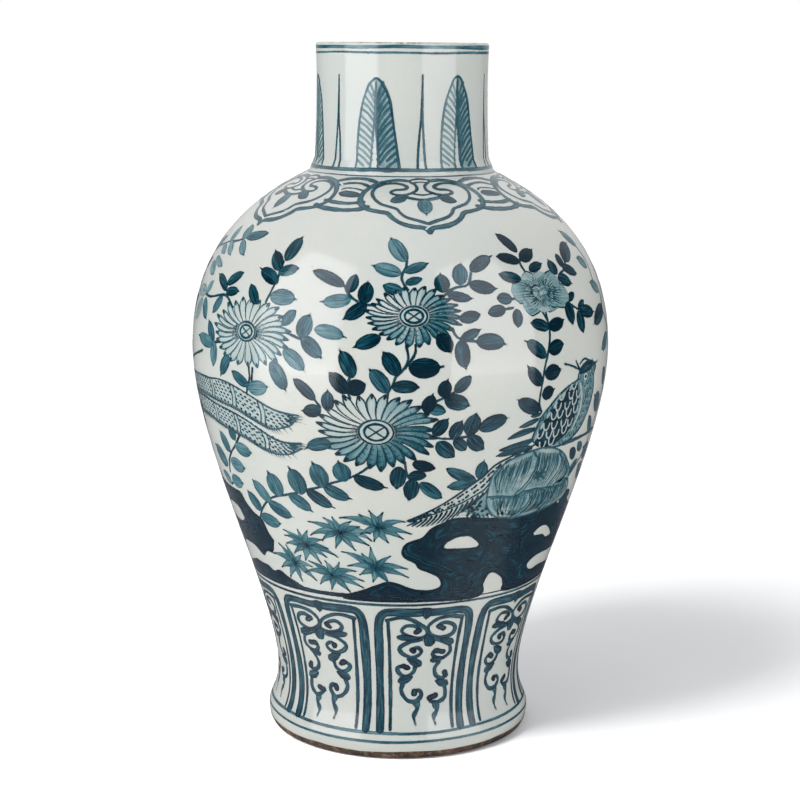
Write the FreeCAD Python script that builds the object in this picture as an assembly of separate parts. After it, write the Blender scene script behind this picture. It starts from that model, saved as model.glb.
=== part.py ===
"""Baluster vase of high-fired clay, thrown in sections that are luted together with slip.

Millimetres, +Z up, origin at the centre of the foot's standing face. Everything is turned about Z. The wall
is drawn as one half section with an even thickness, and parted into its thrown sections at bevelled seams,
each with a film of slip in it and the ridge of slip that squeezes out inside. The floor is a slab of its
own, luted into the foot, which leaves a recess under it and a standing ring round it.
"""

import os

import FreeCAD
import Part
from FreeCAD import Vector

# Heights above the standing face
TOTAL_HEIGHT = 450.0
NECK_HEIGHT = 79.0
BELLY_HEIGHT = 256.0
WAIST_HEIGHT = 38.0
FLARE_HEIGHT = 10.0

# Outside radii, with how far the neck's root stands out beyond the mouth and the flare beyond the waist
MOUTH_RADIUS = 55.7
NECK_ROOT_SPREAD = 1.0
BELLY_RADIUS = 136.3
WAIST_RADIUS = 81.6
FLARE_SPREAD = 6.2

# Walls, floor and standing ring
BODY_WALL = 8.0
FOOT_WALL = 10.6
NECK_WALL = 6.2
FLOOR_THICKNESS = 11.0
FOOT_RECESS_DEPTH = 9.0
FOOT_INNER_EASE = 2.0

# Turned corners
FOOT_EDGE_REACH = 5.0
NECK_ROOT_EASE = 4.0
NECK_BORE_EASE = 3.0
LIP_EASE_SHARE = 0.35
EASE_FLATS = 3

# Seams, by where their outer edge lies, and their slip
LOWER_SEAM_HEIGHT = 118.0
BELLY_SEAM_BELOW_BELLY = 6.0
NECK_SEAM_ABOVE_SHOULDER = 6.0
SEAM_RISE = 6.0
SLIP_FILM = 0.6
SLIP_RIDGE = 1.6
FLOOR_SLIP_REACH = 6.0

# How far each end of a curve keeps its direction, as a share of the curve's height
FLARE_HOLD_SHARE = 0.24
WAIST_HOLD_BELOW_SHARE = 0.655
WAIST_HOLD_ABOVE_SHARE = 0.215
BELLY_HOLD_BELOW_SHARE = 0.298
BELLY_HOLD_ABOVE_SHARE = 0.725
# How the shoulder runs out to the neck: shares of the radius that it loses and of its rise
SHOULDER_RUN_SHARE = 0.156
SHOULDER_DROP_SHARE = 0.068
# How far the middle of the neck is drawn in, as a share of the mouth's radius
NECK_WAIST_SHARE = 0.036

# Where the inside is set square to the outside, as shares of the way up to the belly, and on to the neck
INNER_RISE_SHARES = (0.2, 0.45, 0.72)
INNER_SHOULDER_SHARES = (0.4, 0.7, 0.9)
# Where the wall has thinned from the foot's thickness to the body's, as a share of waist to belly
THINNED_SHARE = 0.45

# Reach of a cutting shape beyond what it cuts, and the distance within which two points are one
OVERRUN = 5.0
SAME_PLACE = 0.001

SHOULDER_HEIGHT = TOTAL_HEIGHT - NECK_HEIGHT
NECK_ROOT_RADIUS = MOUTH_RADIUS + NECK_ROOT_SPREAD
FLARE_RADIUS = WAIST_RADIUS + FLARE_SPREAD
BORE_RADIUS = MOUTH_RADIUS - NECK_WALL
FOOT_BORE_RADIUS = WAIST_RADIUS - FOOT_WALL
FLOOR_TOP = FOOT_RECESS_DEPTH + FLOOR_THICKNESS
FLOOR_RADIUS = FOOT_BORE_RADIUS - SLIP_FILM
CUTTER_RADIUS = BELLY_RADIUS + OVERRUN


def point(radius, height):
    """A point of the half section, in the XZ plane."""
    return Vector(radius, 0, height)


def between(low, high, share):
    return low + (high - low) * share


def curve(*poles):
    """A smooth curve from the first pole to the last, pulled towards those between."""
    bezier = Part.BezierCurve()
    bezier.setPoles(list(poles))
    return bezier


def eased(before, corner, after):
    """A rounded corner, as short flats from the point before it to the point after it."""
    rounding = curve(before, corner, after)
    return [rounding.value(step / EASE_FLATS) for step in range(EASE_FLATS + 1)]


def turned(outline):
    """The solid swept about the axis by a closed outline, given as curves and lists of points."""
    edges = []
    ends = []
    for stretch in outline:
        if isinstance(stretch, list):
            edges += [Part.makeLine(a, b) for a, b in zip(stretch, stretch[1:])]
            ends.append((stretch[0], stretch[-1]))
        else:
            edges.append(stretch.toShape())
            ends.append((stretch.StartPoint, stretch.EndPoint))
    for (_, end), (start, _) in zip(ends, ends[1:] + ends[:1]):
        if not end.isEqual(start, SAME_PLACE):
            edges.append(Part.makeLine(end, start))
    face = Part.Face(Part.Wire(Part.__sortEdges__(edges)))
    return face.revolve(Vector(0, 0, 0), Vector(0, 0, 1), 360)


def foot_curve():
    """The outside from the flare in to the waist."""
    rise = WAIST_HEIGHT - FLARE_HEIGHT
    return curve(
        point(FLARE_RADIUS, FLARE_HEIGHT),
        point(FLARE_RADIUS, FLARE_HEIGHT + rise * FLARE_HOLD_SHARE),
        point(WAIST_RADIUS, WAIST_HEIGHT - rise * WAIST_HOLD_BELOW_SHARE),
        point(WAIST_RADIUS, WAIST_HEIGHT),
    )


def rise_curve():
    """The outside from the waist up and out to the belly."""
    rise = BELLY_HEIGHT - WAIST_HEIGHT
    return curve(
        point(WAIST_RADIUS, WAIST_HEIGHT),
        point(WAIST_RADIUS, WAIST_HEIGHT + rise * WAIST_HOLD_ABOVE_SHARE),
        point(BELLY_RADIUS, BELLY_HEIGHT - rise * BELLY_HOLD_BELOW_SHARE),
        point(BELLY_RADIUS, BELLY_HEIGHT),
    )


def shoulder_curve():
    """The outside from the belly over the full shoulder to the root of the neck."""
    rise = SHOULDER_HEIGHT - BELLY_HEIGHT
    loss = BELLY_RADIUS - NECK_ROOT_RADIUS
    return curve(
        point(BELLY_RADIUS, BELLY_HEIGHT),
        point(BELLY_RADIUS, BELLY_HEIGHT + rise * BELLY_HOLD_ABOVE_SHARE),
        point(NECK_ROOT_RADIUS + loss * SHOULDER_RUN_SHARE, SHOULDER_HEIGHT - rise * SHOULDER_DROP_SHARE),
        point(NECK_ROOT_RADIUS, SHOULDER_HEIGHT),
    )


def neck_curve():
    """The outside of the neck, drawn in a little between its root and the mouth."""
    middle = between(NECK_ROOT_RADIUS, MOUTH_RADIUS, 1 / 2) - MOUTH_RADIUS * NECK_WAIST_SHARE
    return curve(
        point(NECK_ROOT_RADIUS, SHOULDER_HEIGHT),
        point(middle, between(SHOULDER_HEIGHT, TOTAL_HEIGHT, 1 / 2)),
        point(MOUTH_RADIUS, TOTAL_HEIGHT),
    )


def place_at(rising, height):
    """The parameter at which a curve that only rises passes a height, found by halving."""
    low, high = rising.FirstParameter, rising.LastParameter
    for _ in range(50):
        middle = (low + high) / 2
        if rising.value(middle).z < height:
            low = middle
        else:
            high = middle
    return (low + high) / 2


def wall_at(height):
    """The wall's thickness: the foot's up to the waist, then thinning to the body's."""
    share = (height - WAIST_HEIGHT) / ((BELLY_HEIGHT - WAIST_HEIGHT) * THINNED_SHARE)
    return between(FOOT_WALL, BODY_WALL, min(max(share, 0), 1))


def inside_point(outside, height):
    """The point of the inside that faces a height of the outside squarely."""
    place = place_at(outside, height)
    along = outside.tangent(place)[0]
    return outside.value(place) + Vector(-along.z, 0, along.x) * wall_at(height)


def inside_points():
    """The inside from the waist up to the bore, in long flats, with the bore's lower corner eased."""
    rise, shoulder = rise_curve(), shoulder_curve()
    points = [point(FOOT_BORE_RADIUS, WAIST_HEIGHT)]
    for share in INNER_RISE_SHARES:
        points.append(inside_point(rise, between(WAIST_HEIGHT, BELLY_HEIGHT, share)))
    points.append(point(BELLY_RADIUS - BODY_WALL, BELLY_HEIGHT))
    for share in INNER_SHOULDER_SHARES:
        points.append(inside_point(shoulder, between(BELLY_HEIGHT, SHOULDER_HEIGHT, share)))
    under_root = inside_point(shoulder, SHOULDER_HEIGHT)
    slope = (under_root - points[-1]).normalize()
    bore_foot = under_root + slope * ((BORE_RADIUS - under_root.x) / slope.x)
    bore_start = bore_foot + Vector(0, 0, NECK_BORE_EASE)
    return points + eased(bore_foot - slope * NECK_BORE_EASE, bore_foot, bore_start)


def whole_wall():
    """The wall as one turned solid, from the standing ring to the lip, before it is parted at the seams."""
    lip_ease = NECK_WALL * LIP_EASE_SHARE
    shoulder, neck = shoulder_curve(), neck_curve()
    root_slope = shoulder.tangent(shoulder.LastParameter)[0]
    shoulder_end = SHOULDER_HEIGHT - NECK_ROOT_EASE * root_slope.z
    shoulder.segment(shoulder.FirstParameter, place_at(shoulder, shoulder_end))
    neck_start = place_at(neck, SHOULDER_HEIGHT + NECK_ROOT_EASE)
    neck.segment(neck_start, place_at(neck, TOTAL_HEIGHT - lip_ease))
    foot_edge = eased(
        point(FLARE_RADIUS - FOOT_EDGE_REACH, 0),
        point(FLARE_RADIUS, 0),
        point(FLARE_RADIUS, FLARE_HEIGHT),
    )
    neck_root = eased(shoulder.EndPoint, point(NECK_ROOT_RADIUS, SHOULDER_HEIGHT), neck.StartPoint)
    outer_lip = eased(
        neck.EndPoint,
        point(MOUTH_RADIUS, TOTAL_HEIGHT),
        point(MOUTH_RADIUS - lip_ease, TOTAL_HEIGHT),
    )
    inner_lip = eased(
        point(BORE_RADIUS + lip_ease, TOTAL_HEIGHT),
        point(BORE_RADIUS, TOTAL_HEIGHT),
        point(BORE_RADIUS, TOTAL_HEIGHT - lip_ease),
    )
    ring_edge = [
        point(FOOT_BORE_RADIUS, FOOT_INNER_EASE),
        point(FOOT_BORE_RADIUS + FOOT_INNER_EASE, 0),
    ]
    outside = [foot_edge, foot_curve(), rise_curve(), shoulder, neck_root, neck, outer_lip]
    return turned(outside + [inner_lip, inside_points()[::-1], ring_edge])


def crossing(wall, height):
    """The radii of the inside and the outside at a height."""
    level = Part.makeLine(point(0, height), point(CUTTER_RADIUS, height))
    radii = [vertex.X for vertex in level.common(wall).Vertexes]
    return min(radii), max(radii)


def bevel(wall, height):
    """A seam from the outside, where it is low, up through the wall to the inside, and level beyond both."""
    outer = point(crossing(wall, height)[1], height)
    inner = point(crossing(wall, height + SEAM_RISE)[0], height + SEAM_RISE)
    reach = (outer - inner).normalize() * OVERRUN
    outer_end, inner_end = outer + reach, inner - reach
    return [point(CUTTER_RADIUS, outer_end.z), outer_end, inner_end, point(0, inner_end.z)]


def level(height):
    return [point(CUTTER_RADIUS, height), point(0, height)]


def lifted(line, rise):
    return [corner + Vector(0, 0, rise) for corner in line]


def band(below, above):
    """The solid between two lines that both run from the outside to the axis."""
    return turned([below + above[::-1]])


def seam_slip(wall, seam):
    """The film of slip in a seam."""
    return wall.common(band(seam, lifted(seam, SLIP_FILM)))


def slip_ridge(wall, seam):
    """The ridge of slip that squeezes out of a seam on the inside, and lies against the wall."""
    inner = seam[2] + (seam[1] - seam[2]).normalize() * OVERRUN
    middle = inner.z + SLIP_FILM / 2
    in_wall, crest = inner.x + SLIP_RIDGE, inner.x - SLIP_RIDGE
    outline = [
        point(in_wall, middle - SLIP_RIDGE * 2),
        point(inner.x, middle - SLIP_RIDGE * 2),
        point(crest, middle - SLIP_RIDGE / 2),
        point(crest, middle + SLIP_RIDGE / 2),
        point(inner.x, middle + SLIP_RIDGE * 2),
        point(in_wall, middle + SLIP_RIDGE * 2),
    ]
    return turned([outline]).cut(wall)


def floor_slip():
    """The slip round the floor: the film against the foot, and the cove pressed into the corner inside."""
    corner = point(FOOT_BORE_RADIUS, FLOOR_TOP)
    cove = eased(
        corner + Vector(0, 0, FLOOR_SLIP_REACH),
        corner + Vector(-SLIP_FILM, 0, SLIP_FILM),
        corner - Vector(FLOOR_SLIP_REACH, 0, 0),
    )
    film = [
        point(FLOOR_RADIUS, FLOOR_TOP),
        point(FLOOR_RADIUS, FOOT_RECESS_DEPTH),
        point(FOOT_BORE_RADIUS, FOOT_RECESS_DEPTH),
    ]
    return turned([cove, film])


def main():
    wall = whole_wall()
    lower_seam = bevel(wall, LOWER_SEAM_HEIGHT)
    belly_seam = bevel(wall, BELLY_HEIGHT - BELLY_SEAM_BELOW_BELLY)
    neck_seam = bevel(wall, SHOULDER_HEIGHT + NECK_SEAM_ABOVE_SHOULDER)
    bottom, top = level(-OVERRUN), level(TOTAL_HEIGHT + OVERRUN)
    parts = {
        "lower_wall": wall.common(band(bottom, lower_seam)),
        "middle_wall": wall.common(band(lifted(lower_seam, SLIP_FILM), belly_seam)),
        "shoulder_wall": wall.common(band(lifted(belly_seam, SLIP_FILM), neck_seam)),
        "neck": wall.common(band(lifted(neck_seam, SLIP_FILM), top)),
        "floor": Part.makeCylinder(FLOOR_RADIUS, FLOOR_THICKNESS, point(0, FOOT_RECESS_DEPTH)),
        "floor_slip": floor_slip(),
        "lower_seam_slip": seam_slip(wall, lower_seam).fuse(slip_ridge(wall, lower_seam)).removeSplitter(),
        "belly_seam_slip": seam_slip(wall, belly_seam).fuse(slip_ridge(wall, belly_seam)).removeSplitter(),
        "neck_seam_slip": seam_slip(wall, neck_seam),
    }
    os.makedirs("parts", exist_ok=True)
    for name, shape in parts.items():
        print(name, len(shape.Solids), "solid, valid", shape.isValid(), "volume", round(shape.Volume))
        shape.Solids[0].exportStep("parts/" + name + ".step")


main()
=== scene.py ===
"""Looks of the baluster vase: one glazed body, painted in cobalt under the glaze, on a pale studio floor.

Places on the vase are given in degrees round it, with 0 facing the camera and more to the right, and in
millimetres of height above the floor. Brush strokes are thin films that lie on the glaze.
"""

import math

import bpy
import numpy as np
from mathutils import Matrix, Vector


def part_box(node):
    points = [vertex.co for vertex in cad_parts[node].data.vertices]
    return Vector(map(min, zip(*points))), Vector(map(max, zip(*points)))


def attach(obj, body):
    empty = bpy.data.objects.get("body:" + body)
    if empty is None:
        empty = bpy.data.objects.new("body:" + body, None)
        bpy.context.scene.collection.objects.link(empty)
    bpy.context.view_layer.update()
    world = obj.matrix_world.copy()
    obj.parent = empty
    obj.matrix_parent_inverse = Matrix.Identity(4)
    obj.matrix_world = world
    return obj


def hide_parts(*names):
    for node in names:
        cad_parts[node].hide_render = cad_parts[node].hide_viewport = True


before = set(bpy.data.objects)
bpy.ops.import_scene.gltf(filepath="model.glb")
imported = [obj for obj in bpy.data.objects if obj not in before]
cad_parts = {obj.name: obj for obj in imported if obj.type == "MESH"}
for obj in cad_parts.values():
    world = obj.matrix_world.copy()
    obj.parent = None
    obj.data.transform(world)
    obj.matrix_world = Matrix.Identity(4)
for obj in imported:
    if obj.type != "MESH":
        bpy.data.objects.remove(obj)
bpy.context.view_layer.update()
MM = 0.001

# The outline of the body, turned about Z. It is drawn as the CAD walls are, from the foot's edge up over
# the belly and the shoulder to the lip, and gives each height its radius and its length along the wall.

TOTAL_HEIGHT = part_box("neck")[1].z / MM
BELLY_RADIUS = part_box("shoulder_wall")[1].x / MM
NECK_LENGTH = 79.0
SHOULDER_HEIGHT = TOTAL_HEIGHT - NECK_LENGTH
BELLY_HEIGHT, WAIST_HEIGHT, FLARE_HEIGHT = 256.0, 38.0, 10.0
MOUTH_RADIUS, NECK_ROOT_RADIUS, WAIST_RADIUS, FLARE_RADIUS = 55.7, 56.7, 81.6, 87.8
BODY_WALL, FOOT_WALL, NECK_WALL = 8.0, 10.6, 6.2
FLOOR_TOP, RECESS_TOP = 20.0, 9.0
LIP_ROUNDING, FOOT_ROUNDING, RING_CHAMFER = 2.2, 5.0, 2.0
# The outline's points lie this far apart, and closer where the root of the neck bends tightly
ROW_STEP, ROOT_STEP = 2.4, 0.6
BODY_COLUMNS = 288
# The glaze lies this far inside the CAD walls, to leave room for the films of paint on it
GLAZE_INSET = 0.3


def bend(*poles, count=40):
    """Points of the smooth curve that the poles pull on."""
    share = np.linspace(0, 1, count)[:, None]
    points = [np.tile(np.array(pole, float), (count, 1)) for pole in poles]
    while len(points) > 1:
        points = [a + (b - a) * share for a, b in zip(points, points[1:])]
    return points[0]


def outside():
    """Radius and height of points up the outside."""
    foot = WAIST_HEIGHT - FLARE_HEIGHT
    body = BELLY_HEIGHT - WAIST_HEIGHT
    shoulder = SHOULDER_HEIGHT - BELLY_HEIGHT
    loss = BELLY_RADIUS - NECK_ROOT_RADIUS
    middle = SHOULDER_HEIGHT / 2 + TOTAL_HEIGHT / 2
    stretches = [
        bend((FLARE_RADIUS - FOOT_ROUNDING, 0), (FLARE_RADIUS, 0), (FLARE_RADIUS, FLARE_HEIGHT), count=12),
        bend(
            (FLARE_RADIUS, FLARE_HEIGHT),
            (FLARE_RADIUS, FLARE_HEIGHT + foot * 0.24),
            (WAIST_RADIUS, WAIST_HEIGHT - foot * 0.655),
            (WAIST_RADIUS, WAIST_HEIGHT),
        ),
        bend(
            (WAIST_RADIUS, WAIST_HEIGHT),
            (WAIST_RADIUS, WAIST_HEIGHT + body * 0.215),
            (BELLY_RADIUS, BELLY_HEIGHT - body * 0.298),
            (BELLY_RADIUS, BELLY_HEIGHT),
            count=120,
        ),
        bend(
            (BELLY_RADIUS, BELLY_HEIGHT),
            (BELLY_RADIUS, BELLY_HEIGHT + shoulder * 0.725),
            (NECK_ROOT_RADIUS + loss * 0.156, SHOULDER_HEIGHT - shoulder * 0.068),
            (NECK_ROOT_RADIUS, SHOULDER_HEIGHT),
            count=120,
        )[:-8],
        bend(
            (NECK_ROOT_RADIUS, SHOULDER_HEIGHT),
            (MOUTH_RADIUS - 1.5, middle),
            (MOUTH_RADIUS, TOTAL_HEIGHT),
            count=60,
        )[4:-3],
        bend(
            (MOUTH_RADIUS, TOTAL_HEIGHT - LIP_ROUNDING),
            (MOUTH_RADIUS, TOTAL_HEIGHT),
            (MOUTH_RADIUS - LIP_ROUNDING, TOTAL_HEIGHT),
            count=10,
        ),
    ]
    return np.vstack([stretch[1:] for stretch in stretches])


OUTLINE = outside()
STEPS = np.hypot(*np.diff(OUTLINE, axis=0).T)
ALONG = np.concatenate([[0], np.cumsum(STEPS)])
SLOPE = np.gradient(OUTLINE, ALONG, axis=0)


def flat_of(height):
    """Length along the outline up to a height."""
    return np.interp(height, OUTLINE[:, 1], ALONG)


def radius_of(flat):
    """The glaze's radius at a length along the outline."""
    return np.interp(flat, ALONG, OUTLINE[:, 0]) - GLAZE_INSET


def facing_of(flat):
    """The outward direction at a length along the outline, as a radial and an upward share."""
    out, up = np.interp(flat, ALONG, SLOPE[:, 1]), -np.interp(flat, ALONG, SLOPE[:, 0])
    size = np.hypot(out, up)
    return out / size, up / size


def section():
    """The body's closed half section: outside, lip, bore, inside, recess and standing ring."""
    root = flat_of(SHOULDER_HEIGHT)
    rows = [
        np.arange(ALONG[10], root - 12, ROW_STEP),
        np.arange(root - 12, root + 16, ROOT_STEP),
        np.arange(root + 16, ALONG[-10], ROW_STEP),
    ]
    flats = np.concatenate([ALONG[:10:3], *rows, ALONG[-10:]])
    outer = np.column_stack([radius_of(flats), np.interp(flats, ALONG, OUTLINE[:, 1])])
    bore = MOUTH_RADIUS - NECK_WALL
    lip = bend(
        (bore + LIP_ROUNDING, TOTAL_HEIGHT),
        (bore, TOTAL_HEIGHT),
        (bore, TOTAL_HEIGHT - LIP_ROUNDING),
        count=6,
    )
    neck = [(bore, height) for height in np.linspace(TOTAL_HEIGHT - 12, SHOULDER_HEIGHT + 2, 7)]
    inner = []
    for height in np.arange(SHOULDER_HEIGHT - 3, WAIST_HEIGHT + 3, -5.0):
        flat = flat_of(height)
        thinned = np.clip((height - WAIST_HEIGHT) / (BELLY_HEIGHT - WAIST_HEIGHT) / 0.45, 0, 1)
        wall = FOOT_WALL + (BODY_WALL - FOOT_WALL) * thinned
        out, up = facing_of(flat)
        inner.append((radius_of(flat) + GLAZE_INSET - out * wall, height - up * wall))
    foot = WAIST_RADIUS - FOOT_WALL
    recess = [(foot, height) for height in (WAIST_HEIGHT, FLOOR_TOP, RECESS_TOP, RING_CHAMFER)]
    ring = [*recess, (foot + RING_CHAMFER, 0), (FLARE_RADIUS - FOOT_ROUNDING - 1, 0)]
    inner = [place for place in inner if place[0] > bore]
    return np.vstack([outer, lip, neck, inner, ring])


def new_piece(name, places, faces):
    """A smooth mesh of places, in metres, and faces, put in the scene."""
    mesh = bpy.data.meshes.new(name)
    mesh.from_pydata(places.tolist(), [], faces.tolist())
    mesh.shade_smooth()
    piece = bpy.data.objects.new(name, mesh)
    bpy.context.scene.collection.objects.link(piece)
    return piece


def turned(name, outline, columns):
    """A closed mesh swept about Z by a closed half section, in millimetres."""
    turns = np.linspace(0, 2 * math.pi, columns, endpoint=False)
    rows = len(outline)
    sides = np.stack([np.outer(outline[:, 0], np.sin(turns)), -np.outer(outline[:, 0], np.cos(turns))], -1)
    heights = np.repeat(outline[:, 1], columns).reshape(rows, columns, 1)
    places = np.concatenate([sides, heights], -1).reshape(-1, 3) * MM
    index = np.arange(rows * columns).reshape(rows, columns)
    right, above = np.roll(index, -1, 1), np.roll(index, -1, 0)
    quads = np.stack([index, right, np.roll(above, -1, 1), above], -1).reshape(-1, 4)
    return new_piece(name, places, quads)


body = turned("glazed_body", section(), BODY_COLUMNS)
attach(body, "root")
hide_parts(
    "lower_wall",
    "middle_wall",
    "shoulder_wall",
    "neck",
    "lower_seam_slip",
    "belly_seam_slip",
    "neck_seam_slip",
)

# The glaze: a cool greenish white with soft clouds, pinholes and iron specks, uneven enough to ripple
# what it mirrors. It ends in a wavering line above the foot, whose bare clay has been washed brown.


class Shade:
    """A node's output in a material. Sums on it make Math nodes, and node() makes any other node."""

    def __init__(self, tree, output=None):
        self.tree = tree
        self.output = output

    def node(self, kind, settings=None, inputs=None, output=0):
        """A new node with these settings and inputs, and the one of its outputs that is asked for."""
        made = self.tree.nodes.new(kind)
        for name, value in (settings or {}).items():
            setattr(made, name, value)
        for name, value in (inputs or {}).items():
            if isinstance(value, Shade):
                self.tree.links.new(value.output, made.inputs[name])
            else:
                made.inputs[name].default_value = value
        return Shade(self.tree, made.outputs[output])

    def math(self, operation, *others):
        """A Math node on this number and others."""
        inputs = dict(enumerate((self, *others)))
        return self.node("ShaderNodeMath", {"operation": operation}, inputs)

    def __add__(self, other):
        return self.math("ADD", other)

    def __sub__(self, other):
        return self.math("SUBTRACT", other)

    def __mul__(self, other):
        return self.math("MULTIPLY", other)

    def __rsub__(self, other):
        return self * -1.0 + other

    __radd__ = __add__
    __rmul__ = __mul__

    def between(self, low, high, start=0.0, end=1.0):
        """Runs smoothly from start to end as this goes from low to high."""
        inputs = {"Value": self, "From Min": low, "From Max": high, "To Min": start, "To Max": end}
        return self.node("ShaderNodeMapRange", {"interpolation_type": "SMOOTHSTEP"}, inputs)

    def vector(self, operation, other, output="Vector"):
        """Vector Math on this vector and another. Its output is Value where the result is a number."""
        return self.node("ShaderNodeVectorMath", {"operation": operation}, {0: self, 1: other}, output)

    def mixed(self, first, second):
        """first where this is 0, second where it is 1; both are colours."""
        return self.node("ShaderNodeMix", {"data_type": "RGBA"}, {0: self, 6: first, 7: second}, 2)

    def tinted(self, other):
        """This colour times another."""
        settings = {"data_type": "RGBA", "blend_type": "MULTIPLY"}
        return self.node("ShaderNodeMix", settings, {0: 1.0, 6: self, 7: other}, 2)

    def noise(self, scale, detail=2.0, rough=0.5):
        """Soft noise at these coordinates."""
        inputs = {"Vector": self, "Scale": scale, "Detail": detail, "Roughness": rough}
        return self.node("ShaderNodeTexNoise", None, inputs)

    def axis(self, name):
        """One coordinate of this place."""
        return self.node("ShaderNodeSeparateXYZ", None, {0: self}, name)

    def bump(self, strength, distance):
        """The normal of a surface that has these heights."""
        inputs = {"Height": self, "Strength": strength, "Distance": distance}
        return self.node("ShaderNodeBump", None, inputs)

    def surface(self, rough, normal, **more):
        """A surface of this colour, with its roughness and its normal."""
        inputs = {"Base Color": self, "Roughness": rough, "Normal": normal, "IOR": 1.5, **more}
        return self.node("ShaderNodeBsdfPrincipled", None, inputs)

    def parted(self, first, second):
        """first where this is 0, second where it is 1; both are shaders."""
        return self.node("ShaderNodeMixShader", None, {0: self, 1: first, 2: second})

    def show(self, kind="ShaderNodeOutputMaterial"):
        """Makes this shader the one that is seen."""
        end = self.tree.nodes.new(kind)
        self.tree.links.new(self.output, end.inputs["Surface"])


def new_material(name):
    """An empty material, and the object's coordinates in it."""
    material = bpy.data.materials.new(name)
    material.use_nodes = True
    material.node_tree.nodes.clear()
    return material, Shade(material.node_tree).node("ShaderNodeTexCoord", output="Object")


GLAZE_WHITE = (0.584, 0.586, 0.534, 1)
GLAZE_COOL = (0.552, 0.574, 0.533, 1)
GLAZE_MOTTLE = (0.48, 0.49, 0.45, 1)
IRON_BROWN = (0.16, 0.13, 0.10, 1)
PINHOLE_GREY = (0.36, 0.37, 0.34, 1)


def glaze_parts(where):
    """The glaze's colour, roughness and normal at object coordinates, the same bare or over paint."""
    clouds = where.noise(14.0, 3.0)
    colour = clouds.between(0.35, 0.65).mixed(GLAZE_WHITE, GLAZE_COOL)
    mottle = where.noise(420.0, 2.0).between(0.3, 0.7)
    colour = (mottle * 0.10).mixed(colour, GLAZE_MOTTLE)
    cells = {"Vector": where, "Scale": 95.0}
    near = where.node("ShaderNodeTexVoronoi", None, cells)
    picked = where.node("ShaderNodeTexVoronoi", None, cells, "Color")
    kind = picked.node("ShaderNodeSeparateColor", None, {0: picked})
    size = picked.node("ShaderNodeSeparateColor", None, {0: picked}, 1)
    pinhole = near.between(0.02, 0.05 + size * 0.05, 1.0, 0.0) * kind.math("GREATER_THAN", 0.72)
    colour = (pinhole * 0.75).mixed(colour, PINHOLE_GREY)
    iron = near.between(0.01, 0.045, 1.0, 0.0) * kind.math("GREATER_THAN", 0.94)
    colour = (iron * 0.9).mixed(colour, IRON_BROWN)
    rough = where.noise(60.0, 2.0).between(0.3, 0.7, 0.06, 0.13) + pinhole * 0.2
    ripple = where.noise(26.0, 1.0) * 0.9 + where.noise(170.0, 2.0) * 0.10 - pinhole * 0.12
    return colour, rough, ripple.bump(0.25, 0.0008)


CLAY_BROWN = (0.115, 0.062, 0.034, 1)
CLAY_DARK = (0.035, 0.022, 0.015, 1)
CLAY_PALE = (0.30, 0.215, 0.145, 1)
WORN_BROWN = (0.25, 0.16, 0.09, 1)
CHIP_BROWN = (0.24, 0.17, 0.10, 1)


def foot_clay(where):
    """Bare fired clay: gritty, matt and brown, and paler where it is scuffed."""
    blotch = where.noise(70.0, 4.0, 0.65).between(0.35, 0.65)
    scuff = where.noise(240.0, 3.0, 0.7).between(0.52, 0.66)
    colour = (scuff * 0.55).mixed(blotch.mixed(CLAY_DARK, CLAY_BROWN), CLAY_PALE)
    return colour.surface(0.85, where.noise(900.0, 3.0, 0.7).bump(0.6, 0.0006))


def body_material():
    """The glaze, worn brown along the lip and chipped at its front, and the bare clay below its edge."""
    material, where = new_material("glaze_and_foot")
    colour, rough, normal = glaze_parts(where)
    height, aside = where.axis("Z"), where.axis("X")
    worn = (height + where.noise(120.0, 3.0) * 0.0024).between(0.4503, 0.4514)
    colour = (worn * 0.55).mixed(colour, WORN_BROWN)
    frayed = aside.between(-0.034, -0.022) * aside.between(0.008, 0.022, 1.0, 0.0)
    chipped = (height + where.noise(360.0, 3.0) * 0.0042).between(0.4512, 0.4519) * frayed
    colour = (chipped * 0.8).mixed(colour, CHIP_BROWN)
    wander = where.noise(24.0, 3.0) * 0.0034 + 0.0036
    bare = (height - wander).between(-0.0002, 0.0003, 1.0, 0.0)
    bare.parted(colour.surface(rough, normal), foot_clay(where)).show()
    return material


body.data.materials.append(body_material())

# The floor of the vase and the slip that holds it, which stay as they are in the CAD. The floor's top is
# glazed; its underside is bare clay with the rings of the trimming tool.


FLOOR_CLAY, FLOOR_CLAY_DARK = (0.50, 0.43, 0.34, 1), (0.40, 0.31, 0.22, 1)
SLIP_PALE, SLIP_DARK = (0.52, 0.50, 0.44, 1), (0.44, 0.41, 0.34, 1)


def floor_material():
    """Glaze on the floor's top, and under it bare clay with the trimming tool's rings."""
    material, where = new_material("floor_clay")
    colour, rough, normal = glaze_parts(where)
    bare = where.noise(45.0, 4.0, 0.6).between(0.35, 0.65).mixed(FLOOR_CLAY, FLOOR_CLAY_DARK)
    out = where.vector("MULTIPLY", (1, 1, 0)).vector("LENGTH", (0, 0, 0), "Value")
    rings = (out * 2600.0 + where.noise(30.0, 2.0) * 3.0).math("SINE")
    top = where.axis("Z").between(0.0155, 0.0165)
    top.parted(bare.surface(0.9, rings.bump(0.35, 0.0006)), colour.surface(rough, normal)).show()
    return material


def slip_material():
    """Fired slip: a little darker in patches, with a fine grit."""
    material, where = new_material("fired_slip")
    colour = where.noise(90.0, 3.0).between(0.3, 0.7).mixed(SLIP_PALE, SLIP_DARK)
    colour.surface(0.55, where.noise(500.0, 3.0, 0.6).bump(0.4, 0.0004)).show()
    return material


for node, material in (("floor", floor_material()), ("floor_slip", slip_material())):
    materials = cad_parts[node].data.materials
    materials.clear()
    materials.append(material)

# The paint: cobalt brushed on by hand. Each stroke is a thin film just proud of the glaze, a grid of points
# that hold how far inside the stroke they lie, how much cobalt is there, and where they are along the brush.

LAYER_STEP = 0.035
FILM_GRAIN, FINEST_GRAIN = 1.3, 0.9
EDGE_MARGIN = 0.42
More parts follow.
